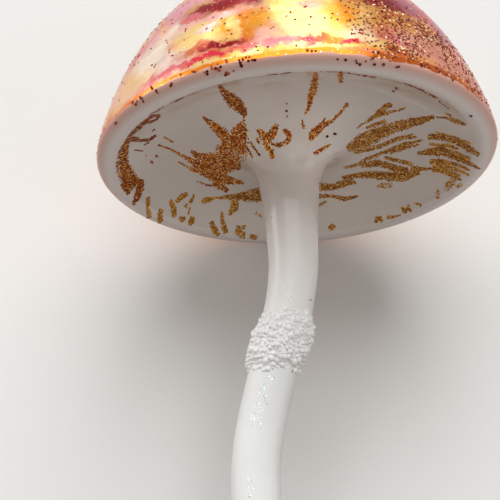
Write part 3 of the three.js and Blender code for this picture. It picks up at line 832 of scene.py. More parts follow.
# Points on the faces, thinned by a named attribute
def scatteredPoints(tree, source, attribute):
    settings = {"data_type": "FLOAT"}
    factor = addNode(tree, "GeometryNodeInputNamedAttribute", settings, Name=attribute).outputs[0]
    inputs = {
        "Mesh": source["Geometry"],
        "Distance Min": source["Spacing"],
        "Density Max": source["Density"],
        "Density Factor": factor,
        "Seed": source["Seed"],
    }
    settings = {"distribute_method": "POISSON"}
    return addNode(tree, "GeometryNodeDistributePointsOnFaces", settings, **inputs).outputs


def randomTurn(tree, most, seed):
    settings = {"data_type": "FLOAT_VECTOR"}
    least = addNode(tree, "ShaderNodeVectorMath", {"operation": "SCALE"}, in0=most, Scale=-1.0).outputs[0]
    node = addNode(tree, "FunctionNodeRandomValue", settings, in0=least, in1=most, Seed=seed)
    return addNode(tree, "FunctionNodeEulerToRotation", None, Euler=node.outputs[0]).outputs[0]


def randomShare(tree, least, most, seed):
    settings = {"data_type": "FLOAT"}
    return addNode(tree, "FunctionNodeRandomValue", settings, in2=least, in3=most, Seed=seed).outputs[1]


def placed(tree, points, shape, turn, size):
    inputs = {"Points": points, "Instance": shape.outputs["Mesh"], "Rotation": turn, "Scale": size}
    return addNode(tree, "GeometryNodeInstanceOnPoints", None, **inputs).outputs[0]


def finished(tree, geometry, source, result):
    dressed = addNode(tree, "GeometryNodeSetMaterial", None, Geometry=geometry, Material=source["Material"])
    tree.links.new(dressed.outputs[0], result["Geometry"])


flakeDraws = {"turnSeed": 3, "sizeSeed": 5, "toneSeed": 7, "least": 0.7, "most": 1.15, "corners": 6}
crumbDraws = {
    "turnSeed": 13,
    "turn": (3.14, 3.14, 3.14),
    "sizeSeed": 11,
    "least": 0.62,
    "most": 1.55,
    "power": 2.5,       # the higher, the fewer large crumbs
    "lumpScale": 1300,
}


def glitterTree():
    inputs = [
        ("Spacing", "Float", 0.28 * mm),
        ("Density", "Float", 9e6),
        ("Flake Radius", "Float", 0.22 * mm),
        ("Flake Thickness", "Float", 0.1 * mm),
        ("Tilt", "Vector", (0.5, 0.5, 3.14)),
        ("Seed", "Int", 1),
        ("Material", "Material", None),
    ]
    tree, source, result = newTree("glitterScatter", inputs)
    scatter = scatteredPoints(tree, source, "flakeDensity")
    sizes = {"Radius": source["Flake Radius"], "Depth": source["Flake Thickness"]}
    flake = addNode(tree, "GeometryNodeMeshCylinder", None, Vertices=flakeDraws["corners"], **sizes)
    tilt = randomTurn(tree, source["Tilt"], flakeDraws["turnSeed"])
    settings = {"rotation_space": "LOCAL"}
    turned = addNode(tree, "FunctionNodeRotateRotation", settings, in0=scatter["Rotation"], in1=tilt)
    size = randomShare(tree, flakeDraws["least"], flakeDraws["most"], flakeDraws["sizeSeed"])
    spread = placed(tree, scatter["Points"], flake, turned.outputs[0], size)
    tone = randomShare(tree, 0.0, 1.0, flakeDraws["toneSeed"])
    settings = {"data_type": "FLOAT", "domain": "INSTANCE"}
    inputs = {"Geometry": spread, "Name": "flakeTone", "Value": tone}
    marked = addNode(tree, "GeometryNodeStoreNamedAttribute", settings, **inputs)
    real = addNode(tree, "GeometryNodeRealizeInstances", None, Geometry=marked.outputs[0])
    finished(tree, real.outputs[0], source, result)
    return tree


def crumbTree():
    inputs = [
        ("Spacing", "Float", 0.55 * mm),
        ("Density", "Float", 4e6),
        ("Crumb Radius", "Float", 0.5 * mm),
        ("Roughness", "Float", 0.3 * mm),
        ("Seed", "Int", 1),
        ("Material", "Material", None),
    ]
    tree, source, result = newTree("crumbScatter", inputs)
    scatter = scatteredPoints(tree, source, "crumbDensity")
    crumb = addNode(tree, "GeometryNodeMeshIcoSphere", None, Radius=source["Crumb Radius"], Subdivisions=2)
    share = math2(tree, "POWER", randomShare(tree, 0.0, 1.0, crumbDraws["sizeSeed"]), crumbDraws["power"])
    size = ranged(tree, share, 0.0, 1.0, in3=crumbDraws["least"], in4=crumbDraws["most"])
    turn = randomTurn(tree, crumbDraws["turn"], crumbDraws["turnSeed"])
    spread = placed(tree, scatter["Points"], crumb, turn, size)
    real = addNode(tree, "GeometryNodeRealizeInstances", None, Geometry=spread)
    place = addNode(tree, "GeometryNodeInputPosition").outputs[0]
    scale = crumbDraws["lumpScale"]
    cloud = addNode(tree, "ShaderNodeTexNoise", None, Vector=place, Scale=scale, Detail=1).outputs["Color"]
    push = vector2(tree, "SUBTRACT", cloud, (0.5, 0.5, 0.5))
    push = addNode(tree, "ShaderNodeVectorMath", {"operation": "SCALE"}, in0=push, Scale=source["Roughness"])
    lumpy = addNode(tree, "GeometryNodeSetPosition", None, Geometry=real.outputs[0], Offset=push.outputs[0])
    soft = addNode(tree, "GeometryNodeSetShadeSmooth", None, Geometry=lumpy.outputs[0])
    finished(tree, soft.outputs[0], source, result)
    return tree


# The mesh that a carrier's modifier makes
def applied(carrier, name, keepLayers):
    graph = bpy.context.evaluated_depsgraph_get()
    carried = carrier.evaluated_get(graph)
    mesh = bpy.data.meshes.new_from_object(carried, preserve_all_data_layers=keepLayers, depsgraph=graph)
    bpy.data.objects.remove(carrier)
    mesh.name = name
    return mesh


def grown(name, emitter, tree, values, material):
    carrier = newPiece(name + "Carrier", emitter, material)
    modifier = carrier.modifiers.new("scatter", "NODES")
    modifier.node_group = tree
    values = dict(values, Material=material)
    for item in tree.interface.items_tree:
        if item.in_out == "INPUT" and item.name in values:
            modifier[item.identifier] = values[item.name]
    return applied(carrier, name, keepLayers=True)


def modified(mesh, material, kind, **settings):
    name = mesh.name
    carrier = newPiece(name + "Carrier", mesh, material)
    modifier = carrier.modifiers.new("shaping", kind)
    for label, value in settings.items():
        setattr(modifier, label, value)
    return applied(carrier, name, keepLayers=False)


glitterScatter = glitterTree()
crumbScatter = crumbTree()


# Collar of glass crumbs on a thin bed
collar = {
    "top": 29.4 * mm,
    "length": 8.5 * mm,
    "bed": 0.85 * mm,
    "bedSink": 0.05 * mm,    # how far the edges of the bed lie in the glass
    "bedRoot": 0.3 * mm,     # how far the inside of the bed lies in it
    "swellPower": 3,         # the higher, the squarer the bed
    "stray": 0.8 * mm,       # how far its edges wander up and down
    "strayScale": 3,
    "spill": 0.1,            # how far single crumbs lie beyond the bed, as a share of its length
    "spillSink": 0.12 * mm,
    "thin": 0.7,             # share of crumbs left there
    "thinStart": 0.42,       # from the middle of the collar, as a share of its length
    "thinEnd": 0.58,
    "sides": 72,
    "rows": 22,
}
crumbValues = {
    "Spacing": 0.58 * mm,
    "Density": 9e6,
    "Crumb Radius": 0.42 * mm,
    "Roughness": 0.3 * mm,
    "Seed": 4,
}


def collarRing(share, swell):
    ring = []
    scale = collar["strayScale"]
    for k in range(collar["sides"]):
        turn = 2 * math.pi * k / collar["sides"]
        spot = (scale * math.cos(turn), scale * math.sin(turn), 2 * round(share))
        s = collar["top"] + share * collar["length"] + noise.noise(spot) * collar["stray"]
        radius = stemOuter(s) + swell
        x = stemX(s) + radius * math.cos(turn) / math.cos(stemLean(s))
        ring.append((x, radius * math.sin(turn), rimZ - s))
    return ring


def bedSwell(share):
    return collar["bed"] * (1 - abs(2 * share - 1) ** collar["swellPower"]) - collar["bedSink"]


def makeCollar():
    shares = [i / collar["rows"] for i in range(collar["rows"] + 1)]
    bedOuter = [collarRing(share, bedSwell(share)) for share in shares]
    bedInner = [collarRing(share, -collar["bedRoot"]) for share in shares]
    bed = ringsMesh("collarBed", bedOuter + bedInner[::-1], closed=True)
    ends = (-collar["spill"], 1 + collar["spill"])
    upper, lower = [collarRing(share, -collar["spillSink"]) for share in ends]
    emitter = ringsMesh("collarFace", [upper] + bedOuter + [lower], closed=False)
    length = collar["length"]
    middle = rimZ - collar["top"] - length / 2
    densities = []
    for vertex in emitter.vertices:
        away = abs(vertex.co.z - middle)
        fade = smooth(away, collar["thinStart"] * length, collar["thinEnd"] * length)
        densities.append(1 - (1 - collar["thin"]) * fade)
    emitter.attributes.new("crumbDensity", "FLOAT", "POINT").data.foreach_set("value", densities)
    crumbs = grown("crumbRing", emitter, crumbScatter, crumbValues, finishes["crumbGlass"])
    shape = bmesh.new()
    shape.from_mesh(bed)
    shape.from_mesh(crumbs)
    shape.to_mesh(crumbs)
    shape.free()
    return crumbs


crumbMesh = makeCollar()
addPiece("crumbRing", crumbMesh, finishes["crumbGlass"], "crumb_collar")
print("collar made with", len(crumbMesh.polygons), "faces")


# Glitter strokes: runs of (x, y, half width) in the photograph's pixels, laid on the surface behind them
gillStrokes = {
    "leftArm": [(203, 117, 1), (213, 125, 4), (223, 134, 6), (233, 145, 7)],
    "leftNeck": [(243, 122, 2), (241, 129, 8), (238, 140, 11), (232, 150, 17), (236, 163, 10)],
    "leftWing": [(191, 151, 1.5), (198, 156, 4), (208, 160, 8), (222, 164, 10), (240, 162, 8)],
    "leftWingLow": [(190, 169, 1.5), (206, 173, 4), (220, 178, 8), (232, 181, 4), (244, 183, 1)],
    "leftWingFill": [(196, 164, 1.5), (208, 169, 4), (220, 171, 5), (231, 170, 3)],
    "leftWingEdge": [(182, 155, 1.2), (190, 160, 3), (198, 165, 5), (207, 168, 5)],
    "leftWingFoot": [(213, 183, 2), (222, 187, 4), (228, 191, 2)],
    "leftTailA": [(246, 146, 1.5), (253, 158, 1)],
    "leftTailB": [(250, 142, 1.5), (260, 156, 0.8)],
    "sprigA": [(158, 145, 1), (170, 149, 1), (181, 155, 1.6), (194, 161, 2)],
    "sprigB": [(178, 162, 0.8), (186, 166, 1.2), (194, 170, 2)],
    "sprigC": [(164, 137, 1.2), (173, 142, 1)],
    "sprigD": [(197, 181, 0.6), (207, 185, 0.8), (218, 187, 1)],
    "bowLeft": [(258, 129, 2), (264, 136, 5), (270, 143, 3)],
    "bowRight": [(277, 124, 2), (273, 133, 5), (267, 141, 4)],
    "bowFoot": [(264, 143, 2), (270, 150, 3.5), (273, 158, 2)],
    "hook": [
        (283, 130, 2), (289, 133, 3), (289, 139, 3), (285, 144, 2.6), (278, 145, 2.2), (271, 144, 1.2),
    ],
    "bowSpur": [(257, 138, 1.5), (259, 144, 1)],
    "ribbon": [
        (316, 73, 1.5), (315, 80, 3.5), (313, 90, 4), (310, 100, 3), (308, 109, 1.6), (305, 114, 1),
    ],
    "ribbonTail": [(302, 119, 1.2), (302, 123, 1), (305, 129, 1.6)],
    "stub": [(340, 72, 2.5), (341, 83, 2)],
    "slash": [
        (348, 103, 2), (340, 113, 1.5), (332, 121, 1.5), (322, 126, 4), (313, 134, 5), (310, 141, 2),
    ],
    "slashTwig": [(325, 118, 1), (322, 124, 1.5)],
    "dash": [(314, 154, 2), (322, 149, 2), (331, 144, 1)],
}
# Leaf, and crescent at the left edge, in darker glitter
russetStrokes = {
    "leaf": [(219, 86, 1.2), (227, 95, 5), (235, 103, 7), (243, 111, 5), (246, 116, 1.5)],
    "leafTail": [(244, 116, 1.2), (244, 122, 0.8)],
    "crescentRim": [(127, 142, 2.8), (124, 151, 5), (121.5, 160, 6)],
    "crescentBody": [(121.5, 160, 6), (124, 170, 8.5), (129, 179, 9), (136, 186, 7)],
    "crescentToeA": [(121, 184, 2), (126, 188, 3.5), (129, 194, 2.4)],
    "crescentToeB": [(141, 179, 3), (140, 188, 4.5), (137, 197, 3.6), (133, 205, 1.2)],
}
# Fine strokes beside the crescent, in the darkest glitter
edgeStrokes = {
    "crescentTop": [
        (160, 115, 0.8), (152, 116, 1.6), (145, 122, 2.4),
        (138, 128, 2.6), (131, 134, 1.8), (127, 142, 2.6),
    ],
    "crescentLoop": [(160, 116, 1), (155, 120, 1.2), (148, 123, 1.2)],
    "branchA": [(127, 140, 1.8), (133, 138.5, 2.2), (139, 138, 1.4)],
    "branchB": [(127, 141, 1), (140, 140.5, 1.4), (150, 139.5, 1.8), (156, 135, 1.5)],
    "branchC": [(144, 145, 0.7), (149, 142, 0.8)],
    "branchD": [(134, 150, 0.8), (143, 151, 0.6)],
    "branchE": [(152, 131, 0.6), (155, 129, 0.8)],
}
# Strokes at the right and behind the stem, in tawnier glitter
rightStrokes = {
    "wedge": [(216, 198, 1), (232, 197, 3), (246, 196, 5.5), (261, 195, 8)],
    "fanMain": [
        (347, 149, 3), (363, 141, 8.5), (378, 133.5, 7.5),
        (392, 128, 6), (411, 123, 5), (434, 117, 2.4),
    ],
    "fanFill": [(366, 128, 1), (376, 124, 2), (386, 121, 2)],
    "fanTop": [
        (357, 128, 0.8), (368, 121, 1.4), (376, 115.5, 3),
        (383, 109, 3.2), (389, 105, 3), (393, 105, 1.4),
    ],
    "fanTopTip": [
        (378, 115.5, 2), (385, 113.5, 2), (393, 111.5, 1.4), (402, 109, 1.2), (406, 107.5, 0.8),
    ],
    "fanTail": [(436, 117, 0.8), (447, 118, 1.2), (456, 121, 2.8), (466, 125, 1)],
    "fanTailTop": [(445, 113, 1), (451, 116, 1.2)],
    "streakA": [(354, 152, 2), (368, 149.5, 2.4), (383, 145, 2.4), (396, 139, 2), (413, 134.5, 1)],
    "streakD": [(391, 141, 1.4), (404, 138, 2), (417, 137, 1)],
    "streakB": [
        (344, 168, 1.2), (358, 164.5, 2), (367, 159, 1.8),
        (386, 151.5, 2), (402, 145, 2.5), (423, 140, 1),
    ],
    "streakC": [(390, 152.5, 2), (404, 148, 2), (419, 144.5, 1)],
    "bandMid": [(361, 166, 2.4), (376, 163, 3.6), (386, 165, 3.8), (397, 169, 4), (408, 171, 4)],
    "bandMidTop": [(384, 157.5, 1.8), (396, 160, 2.2), (408, 163, 2.2), (413, 165, 1.2)],
    "bandLow": [
        (342, 177.5, 1.5), (356, 175.5, 2.6), (370, 174.5, 4),
        (396, 177, 4.8), (407, 176, 5.4), (419, 171, 3.6),
    ],
    "bandTip": [(411, 168, 3), (421, 169, 2.4), (432, 168.5, 0.9)],
    "stemSideTop": [(336, 183, 1), (345, 181, 1.6), (353, 178.5, 1)],
    "stemSideA": [(319, 187, 4), (332, 187, 3.5), (345, 184, 3), (356, 182, 1.5)],
    "stemSideB": [(319, 196, 2.5), (332, 196, 1.8), (345, 199, 2.4), (358, 196, 1.2)],
    "rightUpper": [
        (428, 137.5, 2.4), (434, 136.5, 3.4), (445, 138, 3),
        (457, 142, 3.2), (469, 148.5, 4), (479, 155, 2),
    ],
    "rightMid": [
        (418, 153.5, 1.4), (427, 152, 3.6), (442, 150.5, 5.6),
        (449, 154, 4), (468, 162.5, 2.8), (480, 169, 0.8),
    ],
}
# Hairs at the right and strokes at the far side of the recess, in lighter glitter
farStrokes = {
    "rightHair": [(436, 132, 0.8), (454, 137, 1), (471, 143.5, 1)],
    "rightMidTop": [(429, 144, 1.6), (440, 145, 1), (449, 145.5, 2), (458, 149, 1.2)],
    "rightMidHair": [(450, 150, 1.4), (462, 155.5, 1.8), (470, 159, 1.6)],
    "rightHairA": [(430, 162, 2), (438, 161, 3), (448, 162.5, 2.2), (458, 165, 1.6), (470, 170, 1.2)],
    "rightHairB": [(433, 166, 2), (442, 166, 3), (452, 168, 2), (462, 171.5, 1.5), (470, 176, 1)],
    "rightHairC": [(432, 170, 2), (440, 170, 2.6), (450, 172, 1.6), (460, 176, 1.4)],
    "rightHairD": [(443, 173, 1), (452, 175.5, 1.6), (461, 180, 1.4)],
    "shortA": [(148, 197, 1.8), (148, 203, 2.2), (147, 208, 1.4), (149, 213, 2), (149, 218, 2.2)],
    "shortB": [(161, 209, 1.8), (160, 214, 2.6), (160, 220, 2.8), (160, 223, 1.6)],
    "shortC": [(170, 200, 1.6), (173, 206, 2.6), (174, 211, 2.8), (174, 217, 1.8)],
    "shortD": [(187, 193, 1.8), (183, 196, 2.6), (179, 199, 2.6), (176, 202, 1.6)],
    "shortE": [(194, 195, 1), (192, 199, 1.6), (190, 203, 1.6)],
    "shortF": [(187, 204, 1.4), (185, 207, 1.6)],
    "shortG": [(180, 217, 2), (182, 220, 2.6), (185, 217, 1.4)],
    "shortH": [(193, 217, 2.4), (191, 222, 3), (190, 225, 1.8)],
    "shortI": [(190, 207, 0.8), (188, 215, 0.8)],
    "shortJ": [(202, 202, 2.4), (206, 200, 2.8), (211, 199, 2.4), (216, 197, 1.2)],
    "wedgeTail": [(234, 200, 3), (235, 206, 4.2), (232, 211, 2.8), (229, 215, 1.2)],
    "footA": [(211, 221, 1.6), (213, 227, 2.8), (216, 232, 2.8), (219, 235, 2)],
    "footB": [(222, 212, 1.2), (222, 220, 1.8), (224, 227, 2.6), (226, 233, 2.6)],
    "footC": [(239, 226, 2), (238, 232, 3.4), (243, 234, 3), (242, 238, 2)],
    "footD": [(244, 225, 1.6), (243, 229, 1.8)],
    "footE": [(250, 236, 1.6), (254, 237, 2.6), (257, 238, 1.6)],
    "archA": [(376, 223, 1.4), (377, 218, 1.8), (380, 218, 2), (382, 222, 1.6)],
    "archB": [(387, 217, 1.8), (391, 217, 1.8), (395, 216.5, 1.2), (401, 215, 0.8)],
    "archC": [(402, 207, 1.4), (404, 211, 2), (406, 213, 1.4)],
    "archD": [(405, 212, 1.4), (408, 208, 1.8), (409, 205, 1.2)],
    "archE": [(408, 208, 1.8), (411, 212, 1.6)],
    "archF": [(415, 203, 1), (418, 204, 1), (421, 206, 1.8)],
    "stemDot": [(329, 229, 2.6), (332, 227, 3.2), (335, 226, 2)],
}
# Thinner smears, where the glue took less glitter
farSmears = {
    "rightRimA": [(446, 190, 2), (449, 185, 4), (454, 179, 2.4)],
    "rightRimB": [(455, 186, 2), (462, 184.5, 1.8)],
    "rightRimC": [(437, 190, 1.4), (438, 199, 1.8)],
    "midSmear": [(377, 185, 1.6), (385, 185.5, 2.8), (392, 185.5, 2)],
    "stemSideC": [(319, 206, 2), (327, 201, 1.4)],
    "leftStemDot": [(256, 213, 1.5), (262, 216, 1.5)],
}
# Traces along the edge of the recess, and single dots
rimTraces = {
    "left": [(148, 115, 0.6), (158, 110, 0.8), (164, 106, 0.4)],
    "leftUpper": [(170, 103, 0.5), (178, 100, 0.9), (184, 97, 0.5)],
    "leftThin": [(188, 95, 0.4), (198, 92, 0.4)],
    "front": [(268, 75, 0.4), (294, 72, 0.5)],
    "frontRight": [(318, 71, 0.4), (345, 72, 0.5), (376, 78, 0.8)],
    "right": [(404, 83, 0.6), (424, 91, 0.8), (436, 98, 1.2)],
    "rightEnd": [(439, 101, 0.9), (449, 109, 0.8)],
}
gillDots = [
    (287, 104), (287, 111), (287, 117), (335, 134), (327, 137), (146, 156), (156, 156), (152, 162),
    (397, 88), (394, 91),
]
lipDots = [
    (133, 103), (137, 102), (136, 105), (141, 98), (143, 102), (152, 88), (157, 91), (157, 93),
    (170, 86), (171, 84), (180, 75), (192, 73), (194, 72), (205, 73), (207, 71), (208, 74),
    (211, 69), (216, 69), (218, 68), (221, 67), (220, 70), (225, 62), (227, 61), (226, 73),
    (225, 75), (228, 74), (234, 71), (239, 61), (240, 63), (241, 66), (243, 60), (246, 58),
    (249, 57), (249, 61), (252, 60), (255, 60), (308, 51), (311, 51), (338, 60), (345, 60),
    (355, 61), (357, 63), (359, 64), (366, 62), (371, 59), (373, 58), (374, 60), (375, 65),
    (379, 53), (382, 59), (384, 65), (388, 62), (390, 61), (396, 67), (398, 66), (403, 64),
    (422, 65), (422, 67), (429, 68), (453, 81), (471, 116), (116, 123), (118, 121),
]
stemDots = [(310, 300), (292, 371), (272, 217), (283, 168)]


# Sizes in mm, density in flakes for each square mm, tilt in radians
def flakeValues(spacing, density, radius, thickness, tilt, seed):
    return {
        "Spacing": spacing * mm,
        "Density": density * 1e6,
        "Flake Radius": radius * mm,
        "Flake Thickness": thickness * mm,
        "Tilt": (tilt, tilt, 3.14),
        "Seed": seed,
    }


gillFlakes = flakeValues(spacing=0.2, density=44, radius=0.15, thickness=0.1, tilt=0.6, seed=2)
russetFlakes = dict(gillFlakes, Seed=16)
rightFlakes = flakeValues(spacing=0.19, density=44, radius=0.15, thickness=0.1, tilt=0.6, seed=14)
farFlakes = flakeValues(spacing=0.18, density=44, radius=0.17, thickness=0.12, tilt=0.5, seed=12)
fineFlakes = flakeValues(spacing=0.16, density=20, radius=0.12, thickness=0.1, tilt=0.5, seed=8)
dotFlakes = flakeValues(spacing=0.34, density=40, radius=0.24, thickness=0.26, tilt=0.3, seed=3)
capFlakes = flakeValues(spacing=0.26, density=20, radius=0.22, thickness=0.08, tilt=0.45, seed=6)
pearlFlakes = flakeValues(spacing=0.22, density=5, radius=0.12, thickness=0.06, tilt=0.7, seed=9)
# Dark beds under the strokes: painted shade that fills the gaps between the flakes.
glueShadeBed = {"share": 0.78, "thickness": 0.03 * mm}  # width against the stroke's
strokes = {
    "across": 4,       # faces across a stroke
    "farAcross": 8,    # at the far side, where the surface is seen at a slant
    "step": 8,         # pixels along a stroke, times the faces across it
    "edgeShare": 0.7,  # flakes left at the edges of a stroke
    "thinShare": 0.7,  # flakes in the smears and traces
    "dot": 0.9,        # half width of a dot, in pixels
}


def strokeStations(run, step):
    stations = []
    for (x0, y0, w0), (x1, y1, w1) in zip(run, run[1:]):
        count = max(round(math.hypot(x1 - x0, y1 - y0) / step), 1)
        for i in range(count):
            t = i / count
            stations.append((x0 + (x1 - x0) * t, y0 + (y1 - y0) * t, w0 + (w1 - w0) * t))
    return stations + [run[-1]]


# One stroke as a strip of faces on a surface, with its flake density thinning to the edges
def layStroke(run, tree, density, across, points, faces, densities):
    stations = strokeStations(run, strokes["step"] / across)
    last = None
    for i, (x, y, width) in enumerate(stations):
        before = stations[max(i - 1, 0)]
        after = stations[min(i + 1, len(stations) - 1)]
        ahead = Vector((after[0] - before[0], after[1] - before[1])).normalized()
        asides = [(2 * k / across - 1) * width for k in range(across + 1)]
        row = [rayHit(tree, x - ahead.y * aside, y + ahead.x * aside) for aside in asides]
        if any(hit is None for hit in row):
            last = None
            continue
        first = len(points)
        points.extend(row)
        shares = [strokes["edgeShare"]] + [1] * (across - 1) + [strokes["edgeShare"]]
        densities.extend(density * share for share in shares)
        if last is not None:
            faces.extend((last + k, last + k + 1, first + k + 1, first + k) for k in range(across))
        last = first


def strokesMesh(name, layers, share=1.0, across=strokes["across"]):
    points, faces, densities = [], [], []
    for runs, tree, density in layers:
        for run in runs:
            narrowed = [(x, y, width * share) for x, y, width in run]
            layStroke(narrowed, tree, density, across, points, faces, densities)
    mesh = bpy.data.meshes.new(name)
    mesh.from_pydata(points, [], faces)
    for face in mesh.polygons:
        if face.normal.dot(face.center - cameraPlace) > 0:
            face.flip()
    mesh.attributes.new("flakeDensity", "FLOAT", "POINT").data.foreach_set("value", densities)
    return mesh


def dotRuns(dots):
    size = strokes["dot"]
    return [[(x - size, y, size), (x + size, y, size)] for x, y in dots]


def layGlueShade(name, layers, finish):
    material = finishes[finish]
    mesh = strokesMesh(name, layers, glueShadeBed["share"])
    mesh = modified(mesh, material, "SOLIDIFY", thickness=glueShadeBed["thickness"], offset=0.0)
    addPiece(name, mesh, material)


def growGlitter(name, emitter, values, finish):
    material = finishes[finish]
    mesh = grown(name, emitter, glitterScatter, values, material)
    addPiece(name, mesh, material)
    print(name, "laid with", len(mesh.polygons) // (flakeDraws["corners"] + 2), "flakes")


def layGlitter(name, layers, values, finish, **settings):
    growGlitter(name, strokesMesh(name + "Strokes", layers, **settings), values, finish)


gillLayers = [(gillStrokes.values(), undersideTree, 1.0)]
edgeLayers = [(edgeStrokes.values(), undersideTree, 1.0)]
russetLayers = [(russetStrokes.values(), undersideTree, 1.0)]
rightLayers = [(rightStrokes.values(), undersideTree, 1.0)]
farLayers = [(farStrokes.values(), undersideTree, 1.0)]
smearLayers = [(farSmears.values(), undersideTree, strokes["thinShare"])]
fineLayers = edgeLayers + [
    (rimTraces.values(), undersideTree, strokes["thinShare"]),
    (dotRuns(stemDots), stemTree, 1.0),
]
dotLayers = [(dotRuns(gillDots + lipDots), undersideTree, 1.0)]
# Beds of painted shade under the glitter strokes.
layGlueShade("glitterShadeBed", gillLayers, "copperGlueShade")
layGlueShade("russetShadeBed", edgeLayers + russetLayers, "russetGlueShade")
layGlueShade("rightShadeBed", rightLayers + farLayers, "tawnyGlueShade")
layGlitter("gillGlitter", gillLayers, gillFlakes, "copperFlake")
layGlitter("russetGlitter", russetLayers, russetFlakes, "russetFlake")
layGlitter("rightGlitter", rightLayers, rightFlakes, "tawnyFlake")
layGlitter("farGlitter", farLayers + smearLayers, farFlakes, "honeyFlake", across=strokes["farAcross"])
layGlitter("fineGlitter", fineLayers, fineFlakes, "umberFlake")
layGlitter("strayGlitter", dotLayers, dotFlakes, "maroonFlake")


# Glitter on the dome, thick on one shoulder and in a few drifts behind, thin elsewhere
domeGlitter = {
    # pixel, reach and share of flakes
    "thick": [((400, 30), 12 * mm, 0.8), ((440, 55), 14 * mm, 0.9), ((470, 90), 10 * mm, 0.7)],
    # degrees about the cap's axis from +X, height above the rim, reach and share of flakes
    "drifts": [(60, 18 * mm, 14 * mm, 0.6), (150, 8 * mm, 13 * mm, 0.5), (200, 26 * mm, 12 * mm, 0.45)],
    "core": 0.2,  # share of the reach that is thick throughout
    "thin": 0.04,
    "clump": 0.6,
    "clumpSwing": 0.9,
    "clumpScale": 160,
    "rows": 48,
    "sides": 120,
}


def domeCentres():
    centres = [(rayHit(capTree, *pixel), reach, share) for pixel, reach, share in domeGlitter["thick"]]
    for degrees, height, reach, share in domeGlitter["drifts"]:
        turn = math.radians(degrees)
        aside = Vector((math.cos(turn), math.sin(turn), 0))
        start = rimCentre + Vector((0, 0, height))
        out = (capTree.ray_cast(start + aside, -aside)[0] - start).length
        centres.append((start + aside * out, reach, share))
    return centres


def domeEmitter():
    run = domeRun(cap["radius"], capHeight, domeGlitter["rows"])
    mesh = turnedMesh("domeFace", run, capX, domeGlitter["sides"])
    if mesh.polygons[0].normal.z < 0:
        mesh.flip_normals()
    centres = domeCentres()
    densities = []
    for vertex in mesh.vertices:
        thick = 0
        for centre, reach, share in centres:
            away = (vertex.co - centre).length
            thick = max(thick, share * (1 - smooth(away, domeGlitter["core"] * reach, reach)))
        swing = noise.noise(vertex.co * domeGlitter["clumpScale"])
        clump = domeGlitter["clump"] + domeGlitter["clumpSwing"] * swing
        densities.append(min(max((thick + domeGlitter["thin"]) * clump, 0), 1))
    mesh.attributes.new("flakeDensity", "FLOAT", "POINT").data.foreach_set("value", densities)
    return mesh


growGlitter("capGlitter", domeEmitter(), capFlakes, "umberFlake")

# Fine pearl glitter on the stem, and its share of flakes
stemGlints = {
    "runs": [
        [(290, 282, 3), (292, 303, 5)],
        [(272, 376, 5), (264, 398, 7), (254, 427, 6)],
        [(250, 478, 4), (250, 499, 4)],
    ],
    "share": 0.8,
}
glintMesh = strokesMesh("stemGlints", [(stemGlints["runs"], stemTree, stemGlints["share"])])
growGlitter("stemGlitter", glintMesh, pearlFlakes, "pearlFlake")


# Foot of the stem: plaster, cup and rivet
foot = {"cupWall": 0.5 * mm, "bead": 0.4 * mm, "corner": 1.2 * mm, "sides": 72}
plaster = {
    "sink": 0.05 * mm,      # how far it reaches into the glass
    "edgeDrop": 0.3 * mm,   # its edge, below the mouth of the cup
    "edgePull": 0.25 * mm,
    "creepOut": 0.4 * mm,
    "creepPull": 0.3 * mm,
    "creep": 1.0 * mm,      # how far it creeps up the stem
    "floor": 0.6 * mm,
    "lumpStart": 0.2 * mm,  # below the mouth of the cup
    "lump": 0.18 * mm,
    "lumpScale": 900,
    "steps": 10,
}
rivet = {
    "shank": 1.2 * mm,
    "head": 0.8 * mm,
    "tip": 0.1 * mm,
    "flat": 0.7,         # share of the radius that pulls the head flat
    "round": 0.3 * mm,
    "steps": 10,
    "sides": 48,
}


def arc(centre, radius, start, end, steps):
    turns = [math.radians(start + (end - start) * i / steps) for i in range(steps + 1)]
    return [(centre[0] + radius * math.cos(t), centre[1] + radius * math.sin(t)) for t in turns]


def makeCup():
    outer = ferruleHigh.x - footX - foot["bead"]
    base, mouth = ferruleLow.z, ferruleHigh.z
    wall, corner, bead = foot["cupWall"], foot["corner"], foot["bead"]
    profile = [(0, base), (outer - corner, base)]
    profile += arc((outer - corner, base + corner), corner, -90, 0, 8)
    profile += arc((outer, mouth - bead), bead, -90, 90, 10)
    profile += [(outer - wall, mouth), (outer - wall, base + corner)]
    profile += [(outer - corner, base + wall), (0, base + wall)]
    return turnedMesh("tinCup", profile, footX, foot["sides"])


def makeNeckPlaster():
    low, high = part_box("neck_cement")
    outer = (high.x - low.x) / 2
    inner = stem["radius"] - plaster["sink"]
    mouth = ferruleHigh.z
    edge, pulled = (outer, mouth - plaster["edgeDrop"]), (outer, mouth + plaster["edgePull"])
    creeping = (inner + plaster["creepOut"], mouth + plaster["creepPull"])
    fillet = cubic(edge, pulled, creeping, (inner, mouth + plaster["creep"]), plaster["steps"])
    floor = low.z + plaster["floor"]
    profile = [(0, low.z), (outer, low.z)] + fillet + [(inner, floor), (0, floor)]
    mesh = turnedMesh("neckPlasterRing", profile, footX, foot["sides"])
    for vertex in mesh.vertices:
        if vertex.co.z > mouth - plaster["lumpStart"]:
            vertex.co.z += plaster["lump"] * noise.noise(vertex.co * plaster["lumpScale"])
    return mesh


def makeRivet():
    low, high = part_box("ferrule_rivet")
    radius, shank, head = (high.x - low.x) / 2, rivet["shank"], rivet["head"]
    start, flat = (rivet["tip"], low.z), (rivet["flat"] * radius, low.z)
    side = (radius, low.z + rivet["round"])
    profile = [(0, low.z)] + cubic(start, flat, side, (radius, low.z + head), rivet["steps"])
    profile += [(shank, low.z + head), (shank, high.z - head), (radius, high.z - head)]
    profile += [(radius, high.z), (0, high.z)]
    return turnedMesh("cupRivet", profile, footX, rivet["sides"])


